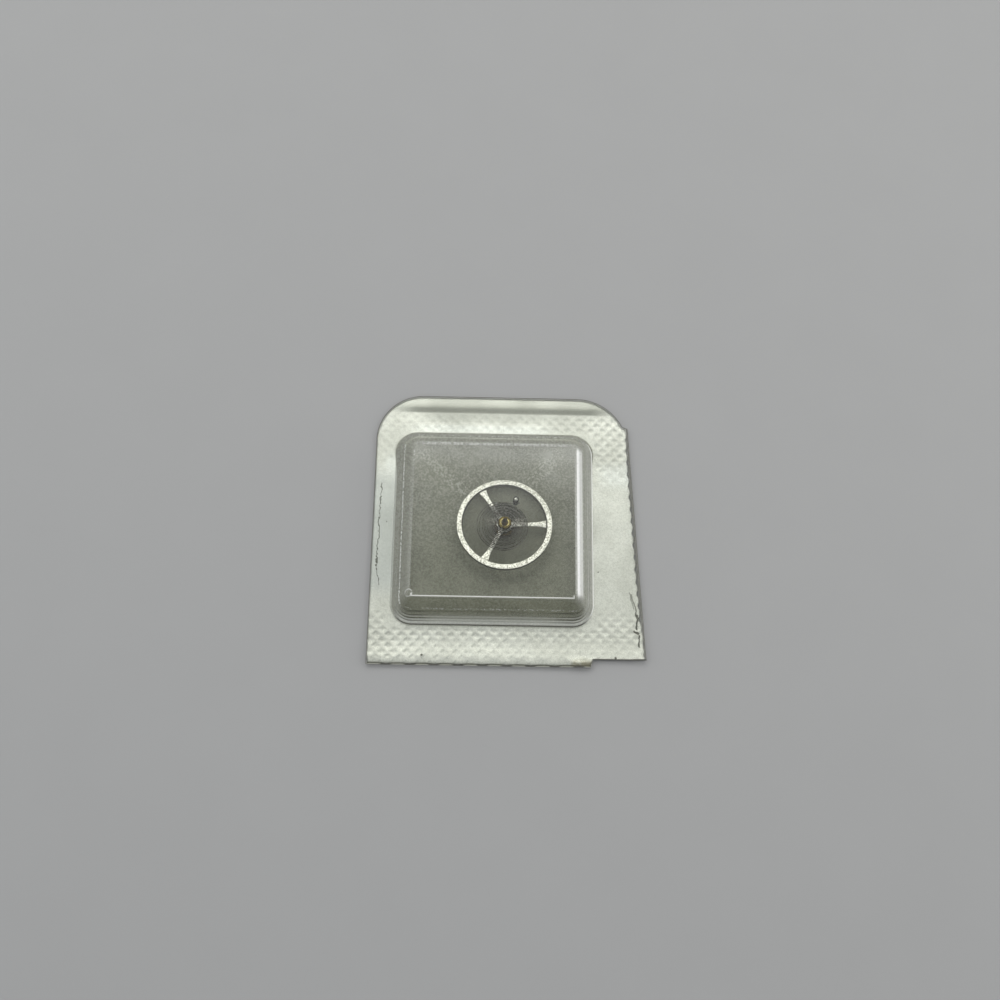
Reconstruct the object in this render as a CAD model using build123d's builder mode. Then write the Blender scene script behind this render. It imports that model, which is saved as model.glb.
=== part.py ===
from build123d import *
import math
import os

# Lengths are millimetres and angles are degrees. +Z is up and +Y points away from the viewer. The origin is the
# middle of the card's underside. Heights of the balance's pieces count along the staff from its lower tip, and
# their places are seen from the staff, with azimuth 0 to the right.

# Card: the outline that the foil and the film are both cut to
card_width = 28.5
card_depth = 29.3
card_corner_radius = 5.0
far_curve_run = 7.0
far_curve_drop = 3.15
nib_inset = 1.95
nib_width = 0.55
nib_drop = 0.2
near_step = 0.8
near_step_x = 8.8
near_step_slant = 0.2
emboss_pitch = 1.25
tear_depth = 0.12
tear_flat_share = 0.4
foil_thickness = 0.12
film_thickness = 0.25

# Cell: the stepped, clear dome of the film. Its tiers run from the foil up to the roof.
cell_x = -1.55
cell_y = -0.1
cell_width = 21.0
cell_depth = 20.8
cell_height = 3.6
cell_roof_inset = 2.12
cell_corner_radius = 2.3
corner_loss_share = 0.8
inner_corner_share = 0.85
tier_height_shares = (0, 0.16, 0.18, 0.27, 0.29, 0.39, 0.41, 0.56, 0.78, 0.92, 1)
tier_inset_shares = (0, 0.055, 0.127, 0.155, 0.222, 0.26, 0.338, 0.47, 0.66, 0.83, 1)

# Place of the balance in its cell: loose, on its lower pivot, leaning away from the viewer
balance_x = 1.12
balance_y = -0.08
tip_clearance = 0.03
lean = 6.5
lean_azimuth = 77

# Wheel
wheel_radius = 5.0
rim_width = 0.53
rim_height = 0.5
rim_drop = 0.05
rim_chamfer = 0.05
arm_count = 3
arm_azimuth = 2.5
arm_thickness = 0.2
arm_width = 0.4
arm_rim_width = 0.92
arm_hub_width = 0.6
arm_rim_flare = 1.6
arm_hub_flare = 0.6
hub_radius = 0.72

# Staff, from the lower tip up
pivot_radius = 0.05
pivot_length = 0.22
pivot_cone_length = 0.16
arbor_radius = 0.2
roller_shoulder = 0.04
flange_radius = 0.62
flange_thickness = 0.12
flange_gap = 0.1
seat_radius = 0.42
rivet_radius = 0.47
rivet_height = 0.04
collet_seat_radius = 0.3
collet_seat_overrun = 0.05
upper_cone_length = 0.25
upper_arbor_radius = 0.24
upper_arbor_length = 0.35

# Rollers and jewel
safety_radius = 0.5
safety_thickness = 0.24
passing_hollow_radius = 0.16
roller_gap = 0.06
table_radius = 1.05
table_thickness = 0.16
jewel_radius = 0.16
jewel_distance = 0.78
jewel_flat = 0.09
jewel_length = 0.46
jewel_azimuth = 0

# Collet, with its split and the cross hole for the spring and the pin
collet_gap = 0.11
collet_radius = 0.7
collet_height = 0.5
collet_bevel = 0.06
collet_split = 0.08
pin_hole_radius = 0.11
pin_hole_distance = 0.53
pin_radius = 0.042
pin_taper_share = 0.8
pin_side_gap = 0.002
collet_pin_length = 1.1

# Hairspring: a strip wound in the plane of the cross holes, wider spaced on the side away from the stud
strip_thickness = 0.04
strip_height = 0.15
turn_count = 12
stud_azimuth = 65
spring_start_setback = 0.42
exit_length = 0.05
bend_radius = 0.3
near_reach = 2.15
far_reach = 3.05
last_turn_shift = 0.3
elbow_azimuth = 113
elbow_radius = 0.3
terminal_azimuth = 90
tail_length = 0.14
gap_points_per_turn = 48

# Stud
stud_x = 1.12
stud_hole_offset = 0.1
stud_radius = 0.3
stud_below_spring = 0.2
stud_height = 1.25
stud_bevel = 0.07
groove_depth = 0.06
groove_half_height = 0.1
groove_height_share = 0.72
stud_pin_length = 0.95

cut_overrun = 0.5

os.makedirs("parts", exist_ok=True)

# Levels along the staff
safety_low = pivot_length + pivot_cone_length + roller_shoulder
table_low = safety_low + safety_thickness + roller_gap
table_high = table_low + table_thickness
flange_low = table_high + flange_gap
hub_low = flange_low + flange_thickness
hub_high = hub_low + arm_thickness
rim_low = hub_low - rim_drop
rivet_high = hub_high + rivet_height
collet_low = rivet_high + collet_gap
collet_high = collet_low + collet_height
spring_level = collet_low + collet_height / 2
collet_seat_high = collet_high + collet_seat_overrun
upper_cone_high = collet_seat_high + upper_cone_length
upper_arbor_high = upper_cone_high + upper_arbor_length
upper_pivot_low = upper_arbor_high + pivot_cone_length
staff_length = upper_pivot_low + pivot_length


def finish(piece, name):
    """Labels a finished piece and writes it."""
    piece.part.label = name
    export_step(piece.part, f"parts/{name}.step")


def unit(azimuth):
    """A direction across the staff."""
    return Vector(math.cos(math.radians(azimuth)), math.sin(math.radians(azimuth)))


# The staff's own frame: X near the card's X, Z along the leaning staff
lean_side = unit(lean_azimuth) * math.sin(math.radians(lean))
staff_direction = Vector(lean_side.X, lean_side.Y, math.cos(math.radians(lean)))
arm_direction = (Vector(1, 0, 0) - staff_direction * staff_direction.X).normalized()
staff_plane = Plane(
    origin=(cell_x + balance_x, cell_y + balance_y, foil_thickness + tip_clearance),
    x_dir=arm_direction,
    z_dir=staff_direction,
)


def place(point, height):
    """The model's point for a place seen from the staff and a height along it."""
    return staff_plane.from_local_coords((point.X, point.Y, height))


def lengthwise_plane(point):
    """A plane through the staff's direction at a place, for revolved outlines: X outwards, Y up the staff."""
    return Plane(origin=place(point, 0), x_dir=staff_plane.x_dir, z_dir=-staff_plane.y_dir)


def cross_plane(point, azimuth):
    """A plane at the spring's level that faces along an azimuth, with X up the staff."""
    ahead = unit(azimuth)
    facing = staff_plane.x_dir * ahead.X + staff_plane.y_dir * ahead.Y
    return Plane(origin=place(point, spring_level), x_dir=staff_plane.z_dir, z_dir=facing)


def torn_edge(start, end, pitch):
    """Draws an edge of flats and shallow bites, each bite to the right of the way it is drawn."""
    count = max(round((end - start).length / pitch), 1)
    step = (end - start) / count
    inward = Vector(step.Y, -step.X).normalized() * tear_depth
    for index in range(count):
        cusp = start + step * index
        lip = cusp + step * tear_flat_share
        after = cusp + step
        Line(cusp, lip)
        ThreePointArc(lip, (lip + after) / 2 + inward, after)


# Card outline, clockwise from the near left corner
side_x = card_width / 2
far_y = card_depth / 2
near_left = Vector(-side_x, -far_y)
left_curve_start = Vector(-side_x, far_y - card_corner_radius)
left_curve_end = Vector(-side_x + card_corner_radius, far_y)
right_curve_start = Vector(side_x - far_curve_run, far_y)
right_curve_end = Vector(side_x - nib_inset, far_y - far_curve_drop)
nib = right_curve_end + Vector(nib_width, -nib_drop)
near_right = Vector(side_x, near_step - far_y)
step_top = Vector(near_step_x, near_step - far_y)
step_foot = Vector(near_step_x - near_step_slant, -far_y)

with BuildSketch() as card:
    with BuildLine():
        Line(near_left, left_curve_start)
        TangentArc(left_curve_start, left_curve_end, tangent=(0, 1))
        Line(left_curve_end, right_curve_start)
        TangentArc(right_curve_start, right_curve_end, tangent=(1, 0))
        Line(right_curve_end, nib)
        torn_edge(nib, near_right, emboss_pitch)
        Line(near_right, step_top)
        Line(step_top, step_foot)
        torn_edge(step_foot, near_left, 2 * emboss_pitch)
    make_face()

with BuildPart() as foil_backing:
    with BuildSketch():
        add(card.sketch)
    extrude(amount=foil_thickness)
finish(foil_backing, "foil_backing")


# Clear film: the flange, then the stepped dome, then its hollow
cell_plane = Plane(origin=(cell_x, cell_y, foil_thickness))
outer_tiers = [
    (cell_height * height_share, cell_roof_inset * inset_share)
    for height_share, inset_share in zip(tier_height_shares, tier_inset_shares)
]
shoulder_inset = outer_tiers[-2][1]
inner_tiers = outer_tiers[:-2] + [(cell_height - film_thickness, shoulder_inset)]


def tier(height, inset, wall, corner_share):
    """One level of the dome: a rounded rectangle drawn in from the cell's foot."""
    corner = cell_corner_radius - inset * corner_loss_share
    with BuildSketch(cell_plane.offset(height)) as level:
        RectangleRounded(
            cell_width - 2 * (inset + wall),
            cell_depth - 2 * (inset + wall),
            corner * corner_share,
        )
    return level.sketch


with BuildPart() as blister_cell:
    with BuildSketch(Plane.XY.offset(foil_thickness)):
        add(card.sketch)
    extrude(amount=film_thickness)
    loft([tier(height, inset, 0, 1) for height, inset in outer_tiers], ruled=True)
    hollow = [tier(height, inset, film_thickness, inner_corner_share) for height, inset in inner_tiers]
    loft(hollow, ruled=True, mode=Mode.SUBTRACT)
finish(blister_cell, "blister_cell")


# Wheel: rim, flared arms and hub in one piece
rim_inner_radius = wheel_radius - rim_width
rim_middle_radius = wheel_radius - rim_width / 2

with BuildSketch() as arm:
    with BuildLine():
        Line((0, 0), (0, arm_hub_width / 2))
        Line((0, arm_hub_width / 2), (hub_radius, arm_hub_width / 2))
        TangentArc(
            (hub_radius + arm_hub_flare, arm_width / 2),
            (hub_radius, arm_hub_width / 2),
            tangent=(-1, 0),
        )
        Line(
            (hub_radius + arm_hub_flare, arm_width / 2),
            (rim_inner_radius - arm_rim_flare, arm_width / 2),
        )
        TangentArc(
            (rim_inner_radius - arm_rim_flare, arm_width / 2),
            (rim_inner_radius, arm_rim_width / 2),
            tangent=(1, 0),
        )
        Line((rim_inner_radius, arm_rim_width / 2), (rim_middle_radius, arm_rim_width / 2))
        Line((rim_middle_radius, arm_rim_width / 2), (rim_middle_radius, 0))
        mirror(about=Plane.XZ)
    make_face()

with BuildPart() as balance_wheel:
    with BuildSketch(staff_plane.offset(rim_low)):
        Circle(wheel_radius)
        Circle(rim_inner_radius, mode=Mode.SUBTRACT)
    extrude(amount=rim_height)
    chamfer(balance_wheel.edges(), rim_chamfer)
    with BuildSketch(staff_plane.offset(hub_low)):
        Circle(hub_radius)
        with PolarLocations(0, arm_count, start_angle=arm_azimuth):
            add(arm.sketch)
        Circle(seat_radius, mode=Mode.SUBTRACT)
    extrude(amount=arm_thickness)
finish(balance_wheel, "balance_wheel")


# Staff: one turned outline
staff_outline = (
    (0, 0),
    (pivot_radius, 0),
    (pivot_radius, pivot_length),
    (arbor_radius, pivot_length + pivot_cone_length),
    (arbor_radius, flange_low),
    (flange_radius, flange_low),
    (flange_radius, hub_low),
    (seat_radius, hub_low),
    (seat_radius, hub_high),
    (rivet_radius, hub_high),
    (rivet_radius, rivet_high),
    (collet_seat_radius, rivet_high),
    (collet_seat_radius, collet_seat_high),
    (upper_arbor_radius, upper_cone_high),
    (upper_arbor_radius, upper_arbor_high),
    (pivot_radius, upper_pivot_low),
    (pivot_radius, staff_length),
    (0, staff_length),
)

with BuildPart() as balance_staff:
    with BuildSketch(lengthwise_plane(Vector(0, 0))):
        with BuildLine():
            Polyline(*staff_outline, close=True)
        make_face()
    revolve(axis=Axis(staff_plane.origin, staff_direction))
finish(balance_staff, "balance_staff")


# Impulse jewel: a round pin with a flat on its outer side. Its outline also cuts the table and the hollow.
jewel_point = unit(jewel_azimuth) * jewel_distance

with BuildSketch() as jewel_outline:
    with Locations(Location((jewel_point.X, jewel_point.Y), jewel_azimuth)):
        Circle(jewel_radius)
        with Locations((jewel_flat + jewel_radius, 0)):
            Rectangle(2 * jewel_radius, 2 * jewel_radius, mode=Mode.SUBTRACT)

with BuildPart() as impulse_jewel:
    with BuildSketch(staff_plane.offset(table_high)):
        add(jewel_outline.sketch)
    extrude(amount=-jewel_length)
finish(impulse_jewel, "impulse_jewel")

with BuildPart() as roller_table:
    with BuildSketch(staff_plane.offset(table_low)):
        Circle(table_radius)
        Circle(arbor_radius, mode=Mode.SUBTRACT)
        add(jewel_outline.sketch, mode=Mode.SUBTRACT)
    extrude(amount=table_thickness)
finish(roller_table, "roller_table")

hollow_point = unit(jewel_azimuth) * safety_radius

with BuildPart() as safety_roller:
    with BuildSketch(staff_plane.offset(safety_low)):
        Circle(safety_radius)
        Circle(arbor_radius, mode=Mode.SUBTRACT)
        with Locations((hollow_point.X, hollow_point.Y)):
            Circle(passing_hollow_radius, mode=Mode.SUBTRACT)
    extrude(amount=safety_thickness)
finish(safety_roller, "safety_roller")


# Hairspring route. Its half turns meet on a line through the staff towards the stud, where they are all square
# to that line, so each half turn is an arc from one side's place to the other's.
towards_stud = unit(stud_azimuth)
past_stud = unit(stud_azimuth - 90)
exit_reach = math.sqrt(collet_radius**2 - pin_hole_distance**2) + exit_length
bend_along = pin_hole_distance - bend_radius
bend_turn = math.degrees(math.atan2(exit_reach, bend_along))
first_radius = math.hypot(exit_reach, bend_along) + bend_radius
near_pitch = (near_reach - first_radius) / (turn_count - 1 / 2)
far_pitch = (far_reach - first_radius) / turn_count
near_places = [first_radius + near_pitch * (turn + 1 / 2) for turn in range(turn_count)]
far_places = [first_radius + far_pitch * turn for turn in range(turn_count + 1)]

spring_start = towards_stud * pin_hole_distance - past_stud * spring_start_setback
spring_exit = towards_stud * pin_hole_distance + past_stud * exit_reach
bend_centre = towards_stud * bend_along + past_stud * exit_reach
last_centre = -towards_stud * last_turn_shift
last_radius = far_places[-1] - last_turn_shift
elbow_centre = last_centre + unit(elbow_azimuth) * (last_radius - elbow_radius)
terminal_start = elbow_centre + unit(terminal_azimuth) * elbow_radius
terminal_end = Vector(stud_x + stud_radius + tail_length, terminal_start.Y)

# Each arc as its centre, radius, first azimuth and turn, all clockwise
arcs = [
    (bend_centre, bend_radius, stud_azimuth, bend_turn),
    (Vector(0, 0), first_radius, stud_azimuth - bend_turn, 180 - bend_turn),
]
for turn in range(turn_count):
    near, far, next_far = near_places[turn], far_places[turn], far_places[turn + 1]
    arcs.append((towards_stud * (near - far) / 2, (near + far) / 2, stud_azimuth + 180, 180))
    arcs.append((towards_stud * (near - next_far) / 2, (near + next_far) / 2, stud_azimuth, 180))
arcs.append((last_centre, last_radius, stud_azimuth + 180, stud_azimuth + 180 - elbow_azimuth))
arcs.append((elbow_centre, elbow_radius, elbow_azimuth, elbow_azimuth - terminal_azimuth))

with BuildLine() as flat_route:
    Line(spring_start, spring_exit)
    for centre, radius, azimuth, turn in arcs:
        CenterArc(centre, radius, azimuth, -turn)
    Line(terminal_start, terminal_end)
spring_route = staff_plane.offset(spring_level).from_local_coords(flat_route.wire())

with BuildPart() as hairspring:
    with BuildSketch(cross_plane(spring_start, stud_azimuth - 90)):
        Rectangle(strip_height, strip_thickness)
    sweep(path=spring_route)
finish(hairspring, "hairspring")


def least_gap():
    """The strip's least clear gap to itself, from points along its route at least half a first turn apart."""
    points = []
    travelled = 0
    for centre, radius, azimuth, turn in arcs:
        count = max(math.ceil(gap_points_per_turn * turn / 360), 1)
        for index in range(count):
            points.append((centre + unit(azimuth - turn * index / count) * radius, travelled))
            travelled += math.radians(turn) * radius / count
    terminal = terminal_end - terminal_start
    for index in range(gap_points_per_turn):
        share = index / gap_points_per_turn
        points.append((terminal_start + terminal * share, travelled + terminal.length * share))
    apart = math.pi * first_radius
    return min(
        (here - there).length
        for number, (here, here_at) in enumerate(points)
        for there, there_at in points[number + 1 :]
        if there_at - here_at > apart
    ) - strip_thickness


route_length = spring_route.length
route_volume = strip_thickness * strip_height * route_length
print(f"hairspring: {route_length:.2f} mm long, least gap to itself {least_gap():.3f} mm")
print(f"strip volume {hairspring.part.volume:.5f}, section times length {route_volume:.5f}")


def taper_pin(name, middle, azimuth, length):
    """A round pin that narrows along an azimuth, centred on a place at the spring's level."""
    half = unit(azimuth) * (length / 2)
    with BuildPart() as pin:
        with BuildSketch(cross_plane(middle - half, azimuth)):
            Circle(pin_radius)
        with BuildSketch(cross_plane(middle + half, azimuth)):
            Circle(pin_radius * pin_taper_share)
        loft()
    finish(pin, name)
    return pin


# Collet, its cross hole square to the line towards the stud and its split on the other side
pin_side = strip_thickness / 2 + pin_side_gap + pin_radius

with BuildPart() as collet:
    with BuildSketch(staff_plane.offset(collet_low)):
        Circle(collet_radius)
        Circle(collet_seat_radius, mode=Mode.SUBTRACT)
        with Locations(Location((0, 0), stud_azimuth + 180)):
            with Locations((collet_radius / 2, 0)):
                Rectangle(collet_radius, collet_split, mode=Mode.SUBTRACT)
    extrude(amount=collet_height)
    outer_edges = collet.edges().filter_by(lambda edge: edge.geom_type == GeomType.CIRCLE)
    chamfer(outer_edges.sort_by(SortBy.RADIUS)[-2:], collet_bevel)
    with BuildSketch(cross_plane(towards_stud * pin_hole_distance, stud_azimuth - 90)):
        Circle(pin_hole_radius)
    extrude(amount=collet_radius + cut_overrun, both=True, mode=Mode.SUBTRACT)
finish(collet, "collet")

collet_pin = taper_pin(
    "collet_pin", towards_stud * (pin_hole_distance - pin_side), stud_azimuth - 90, collet_pin_length
)

# Stud: a post with a groove for its clamping screw and a cross hole for the spring's straight end
stud_point = Vector(stud_x, terminal_start.Y + stud_hole_offset)
stud_low = spring_level - stud_below_spring
stud_high = stud_low + stud_height
groove_level = stud_low + stud_height * groove_height_share
stud_outline = (
    (0, stud_low),
    (stud_radius - stud_bevel, stud_low),
    (stud_radius, stud_low + stud_bevel),
    (stud_radius, groove_level - groove_half_height),
    (stud_radius - groove_depth, groove_level),
    (stud_radius, groove_level + groove_half_height),
    (stud_radius, stud_high - stud_bevel),
    (stud_radius - stud_bevel, stud_high),
    (0, stud_high),
)

with BuildPart() as stud:
    with BuildSketch(lengthwise_plane(stud_point)):
        with BuildLine():
            Polyline(*stud_outline, close=True)
        make_face()
    revolve(axis=Axis(place(stud_point, 0), staff_direction))
    with BuildSketch(cross_plane(Vector(stud_x, terminal_start.Y), 0)):
        Circle(pin_hole_radius)
    extrude(amount=stud_radius + cut_overrun, both=True, mode=Mode.SUBTRACT)
finish(stud, "stud")

stud_pin = taper_pin("stud_pin", Vector(stud_x, terminal_start.Y + pin_side), 180, stud_pin_length)
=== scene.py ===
import math
from functools import reduce

import bmesh
import bpy
import numpy as np
from mathutils import Matrix, Vector
from mathutils.geometry import delaunay_2d_cdt


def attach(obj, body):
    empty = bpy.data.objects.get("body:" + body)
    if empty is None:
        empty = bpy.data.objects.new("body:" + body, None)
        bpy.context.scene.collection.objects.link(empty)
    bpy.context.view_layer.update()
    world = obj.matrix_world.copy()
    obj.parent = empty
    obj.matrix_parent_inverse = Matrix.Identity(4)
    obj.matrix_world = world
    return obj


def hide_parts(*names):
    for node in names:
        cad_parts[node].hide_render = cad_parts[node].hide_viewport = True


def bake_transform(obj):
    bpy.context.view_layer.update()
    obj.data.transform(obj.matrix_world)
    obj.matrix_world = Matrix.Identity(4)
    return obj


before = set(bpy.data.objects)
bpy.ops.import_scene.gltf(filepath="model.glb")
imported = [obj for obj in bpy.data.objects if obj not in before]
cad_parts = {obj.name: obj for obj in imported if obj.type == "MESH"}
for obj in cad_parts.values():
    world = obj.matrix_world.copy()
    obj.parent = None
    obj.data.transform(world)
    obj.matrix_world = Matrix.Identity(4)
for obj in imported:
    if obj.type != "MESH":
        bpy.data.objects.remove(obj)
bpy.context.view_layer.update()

# Shapes are worked out in millimetres. The lengths repeat the named values of the part's source.
MM = 0.001

# Card
CARD_W, CARD_D = 28.5, 29.3
SIDE_X, FAR_Y = CARD_W / 2, CARD_D / 2
CARD_CORNER = 5.0
FAR_CURVE_RUN, FAR_CURVE_DROP = 7.0, 3.15
NIB_INSET, NIB_W, NIB_DROP = 1.95, 0.55, 0.2
NEAR_STEP, NEAR_STEP_X, NEAR_STEP_SLANT = 0.8, 8.8, 0.2
FOIL, FOIL_PLY, FILM, PLY_GAP = 0.12, 0.05, 0.25, 0.018

# Cell
CELL_X, CELL_Y, CELL_W, CELL_D, CELL_H = -1.55, -0.1, 21.0, 20.8, 3.6
ROOF_INSET, CELL_CORNER, CORNER_LOSS, INNER_CORNER = 2.12, 2.3, 0.8, 0.85
HEIGHT_SHARES = (0, 0.16, 0.18, 0.27, 0.29, 0.39, 0.41, 0.56, 0.78, 0.92, 1)
INSET_SHARES = (0, 0.055, 0.127, 0.155, 0.222, 0.26, 0.338, 0.47, 0.66, 0.83, 1)
ROOF_Y = CELL_D / 2 - ROOF_INSET
ROOF_DROP, ROOF_SAG, SAG_HALF, EDGE_ROLL, FOOT_OUT = 0.04, 0.05, 8.5, 0.28, 0.35
LEAST_CORNER, FOIL_FOOT_OUT = 0.15, 0.1
ROOF_RINGS, UNDER_RINGS = 22, 34

# Seal's pattern and the far lip, which is peeled up from its crease
PATTERN_X, PATTERN_Y, PATTERN_DEPTH = 1.27, 1.16, 0.04
SWAY, SWAY_X, SWAY_Y = 0.03, 1.3, 1.7
SLOW_WAVE, GRID = 0.008, 0.105
CREASE_Y, LIP_RUN = 12.75, 0.8
# Widths of the strip along the film's edge that carries the edge's painted shade, and how much wider it is on
# the torn side
EDGE_LINE, SIDE_LINE = 0.08, 0.13
NEAR_WAVE, FLAP_X = 2.45, 7.7

# How far the sheet stands off its flat place, its waves, and how far the film's top follows the pattern
LIP_RISE, LIP_FALL, NEAR_RISE, NEAR_FALL = 0.10, 0.05, 0.12, 0.10
FLAP_RISE, SIDE_RISE, LEFT_RISE = 0.22, 0.12, 0.10
FOIL_WAVE, FILM_WAVE, ROOF_WAVE, FILM_FOLLOWS = -0.07, 0.02, 0.006, 0.9

# How far the foil's edge lies inside the film's, with the torn side's teeth and the near side's waves
CUT_BACK, TORN_BACK, BITE, SIDE_JAG = 0.035, 0.16, 0.17, 0.05
NEAR_BACK, NEAR_SWING, NEAR_JAG = 0.05, 0.04, 0.03
TOOTH, TOOTH_FLAT = 1.31, 0.45

# Place of the balance
LEAN, LEAN_AZIMUTH = math.radians(6.5), math.radians(77)
FOOT = np.array([CELL_X + 1.12, CELL_Y - 0.08, FOIL + 0.03])

# Levels along the staff
SAFETY_LOW, SAFETY_HIGH, TABLE_LOW, TABLE_HIGH = 0.42, 0.66, 0.72, 0.88
FLANGE_LOW, HUB_LOW, HUB_HIGH, RIM_LOW, RIM_HIGH = 0.98, 1.10, 1.30, 1.05, 1.55
RIVET_HIGH, COLLET_LOW, COLLET_HIGH, SPRING_LEVEL = 1.34, 1.45, 1.95, 1.70
SEAT_HIGH, CONE_HIGH, ARBOR_HIGH, PIVOT_LOW, STAFF_LENGTH = 2.0, 2.25, 2.6, 2.76, 2.98

# Wheel
WHEEL_R, RIM_IN, HUB_R, ARM_AZIMUTH = 5.0, 4.47, 0.72, 2.5
RIM_SLOPE = 0.11
ARM_W, ARM_RIM_W, ARM_HUB_W, ARM_RIM_FLARE, ARM_HUB_FLARE = 0.4, 0.92, 0.6, 1.6, 0.6

# Staff, rollers and jewel
PIVOT_R, ARBOR_R, FLANGE_R, SEAT_R, RIVET_R, COLLET_SEAT_R, UPPER_R = 0.05, 0.2, 0.62, 0.42, 0.47, 0.3, 0.24
PIVOT_L, PIVOT_CONE = 0.22, 0.16
CONE_R, LOWER_CONE, UPPER_CONE = 0.09, 0.32, 2.69
TABLE_R, SAFETY_R, HOLLOW_R, HOLLOW_LOW, HOLLOW_HIGH = 1.05, 0.5, 0.16, 0.2, 0.9
JEWEL_R, JEWEL_AT, JEWEL_FLAT, JEWEL_L = 0.16, 0.78, 0.09, 0.46

# Collet, pins, hairspring and stud
COLLET_R, COLLET_BEVEL, COLLET_SPLIT = 0.7, 0.06, 0.08
HOLE_R, PIN_AT, PIN_R, PIN_TAPER, PIN_GAP = 0.11, 0.53, 0.042, 0.8, 0.002
COLLET_PIN_L, STUD_PIN_L, PIN_HEAD, PIN_TIP = 1.1, 0.95, 0.6, 0.45
COLLET_HOLE_HALF, STUD_HOLE_HALF = 1.2, 0.8
STRIP_T, STRIP_H, HELD_FIRST, HELD_LAST = 0.04, 0.15, 0.9, 1.6
STUD_AZIMUTH, TURNS = 65, 12
NEAR_REACH, FAR_REACH, LAST_SHIFT = 2.15, 3.05, 0.3
START_SETBACK, EXIT_L, BEND_R = 0.42, 0.05, 0.3
ELBOW_AT, ELBOW_R, TAIL_L = 113, 0.3, 0.14
STUD_X, STUD_R, STUD_HOLE_OFFSET = 1.12, 0.3, 0.1
STUD_LOW, STUD_H, STUD_BEVEL, STUD_DOME = 1.5, 1.25, 0.07, 0.13
GROOVE_LEVEL, GROOVE_HALF, GROOVE_DEPTH = 2.4, 0.1, 0.06

# Spacing of the turned rings on steel and gilt, and of the spring's turns that catch light
TURNING, LIT_TURNS = 0.03, 0.29

# How far a tool that cuts reaches past the piece, and how far the edges are eased
PAST = 0.3
FOLD_EASE, INNER_FOLD_EASE, RIM_EASE, ARM_EASE, STAFF_EASE = 0.11, 0.10, 0.05, 0.018, 0.015
TABLE_EASE, SAFETY_EASE, JEWEL_EASE = 0.03, 0.025, 0.012
STRIP_EASE, COLLET_EASE, STUD_EASE, PIN_EASE_SHARE = 0.008, 0.02, 0.03, 0.015


def unit(degrees):
    return np.array([math.cos(math.radians(degrees)), math.sin(math.radians(degrees))])


def smoothstep(low, high, value):
    t = np.clip((value - low) / (high - low), 0, 1)
    return t * t * (3 - 2 * t)


staff_z = np.array([*(math.sin(LEAN) * unit(math.degrees(LEAN_AZIMUTH))), math.cos(LEAN)])
staff_x = np.array([1.0, 0, 0]) - staff_z * staff_z[0]
staff_x /= np.linalg.norm(staff_x)
STAFF = np.column_stack([staff_x, np.cross(staff_z, staff_x), staff_z])


def from_staff(points):
    """Card coordinates of points that are seen from the staff."""
    return np.asarray(points, float) @ STAFF.T + FOOT


# Meshes

def make(name, points, faces, smooth=True, weld=False):
    """An object from points in millimetres, faces turned outwards. Welding makes equal points one."""
    mesh = bpy.data.meshes.new(name)
    mesh.from_pydata((np.asarray(points, float) * MM).tolist(), [], faces)
    build = bmesh.new()
    build.from_mesh(mesh)
    if weld:
        bmesh.ops.remove_doubles(build, verts=build.verts, dist=1e-8)
        bmesh.ops.dissolve_degenerate(build, dist=1e-8, edges=build.edges)
    bmesh.ops.recalc_face_normals(build, faces=build.faces)
    build.to_mesh(mesh)
    build.free()
    mesh.polygons.foreach_set("use_smooth", [smooth] * len(mesh.polygons))
    piece = bpy.data.objects.new(name, mesh)
    bpy.context.scene.collection.objects.link(piece)
    return piece


def swept(name, rings, loop=False, smooth=True):
    """A solid along rings of equally many points, seen from the staff: a loop, or with flat ends."""
    n, count = len(rings[0]), len(rings)
    faces = [] if loop else [tuple(range(n)), tuple(range((count - 1) * n, count * n))]
    for ring in range(count if loop else count - 1):
        a, b = ring * n, (ring + 1) % count * n
        faces += [(a + k, a + (k + 1) % n, b + (k + 1) % n, b + k) for k in range(n)]
    return make(name, from_staff([point for ring in rings for point in ring]), faces, smooth, weld=loop)


def crisp(piece, degrees):
    """Smooth shading that stays crisp over sharp edges."""
    piece.data.polygons.foreach_set("use_smooth", [True] * len(piece.data.polygons))
    piece.data.set_sharp_from_angle(angle=math.radians(degrees))


def finish_piece(piece, body, slot, node, crisp_from=35):
    """Shading, material, body, slot and the node that the piece stands for."""
    if crisp_from:
        crisp(piece, crisp_from)
    for look in LOOKS[slot]:
        piece.data.materials.append(look)
    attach(piece, body)
    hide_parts(node)


def rounded(outline, radius, steps=3, closed=True):
    """An outline with its corners eased: each gets a curve that starts a radius before it."""
    places = [np.asarray(p, float) for p in outline]
    out = []
    for index, place in enumerate(places):
        if not closed and index in (0, len(places) - 1):
            out.append(place)
            continue
        before = places[index - 1] - place
        after = places[(index + 1) % len(places)] - place
        before_length, after_length = np.linalg.norm(before), np.linalg.norm(after)
        run = min(radius, before_length / 2.2, after_length / 2.2)
        start, end = place + before / before_length * run, place + after / after_length * run
        for t in np.linspace(0, 1, steps + 1):
            out.append(start * (1 - t) ** 2 + place * 2 * t * (1 - t) + end * t * t)
    return out


def lathe(name, outline, segments=96, centre=(0, 0), gap=0.0, start=0.0):
    """A turned piece about a line along the staff, from (radius, level) pairs. A gap is in radians."""
    rings = []
    for station in range(segments + 1 if gap else segments):
        turn = start + gap / 2 + (2 * math.pi - gap) * station / segments
        across = np.array([math.cos(turn), math.sin(turn)])
        rings.append([(*(centre + r * across), z) for r, z in outline])
    return swept(name, rings, loop=not gap)


def prism(name, outline, low, high, bevel=0.0):
    """A plate along the staff from a flat outline."""
    piece = swept(name, [[(p[0], p[1], level) for p in outline] for level in (low, high)], smooth=False)
    if bevel:
        ease(piece, bevel)
    return piece


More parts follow.
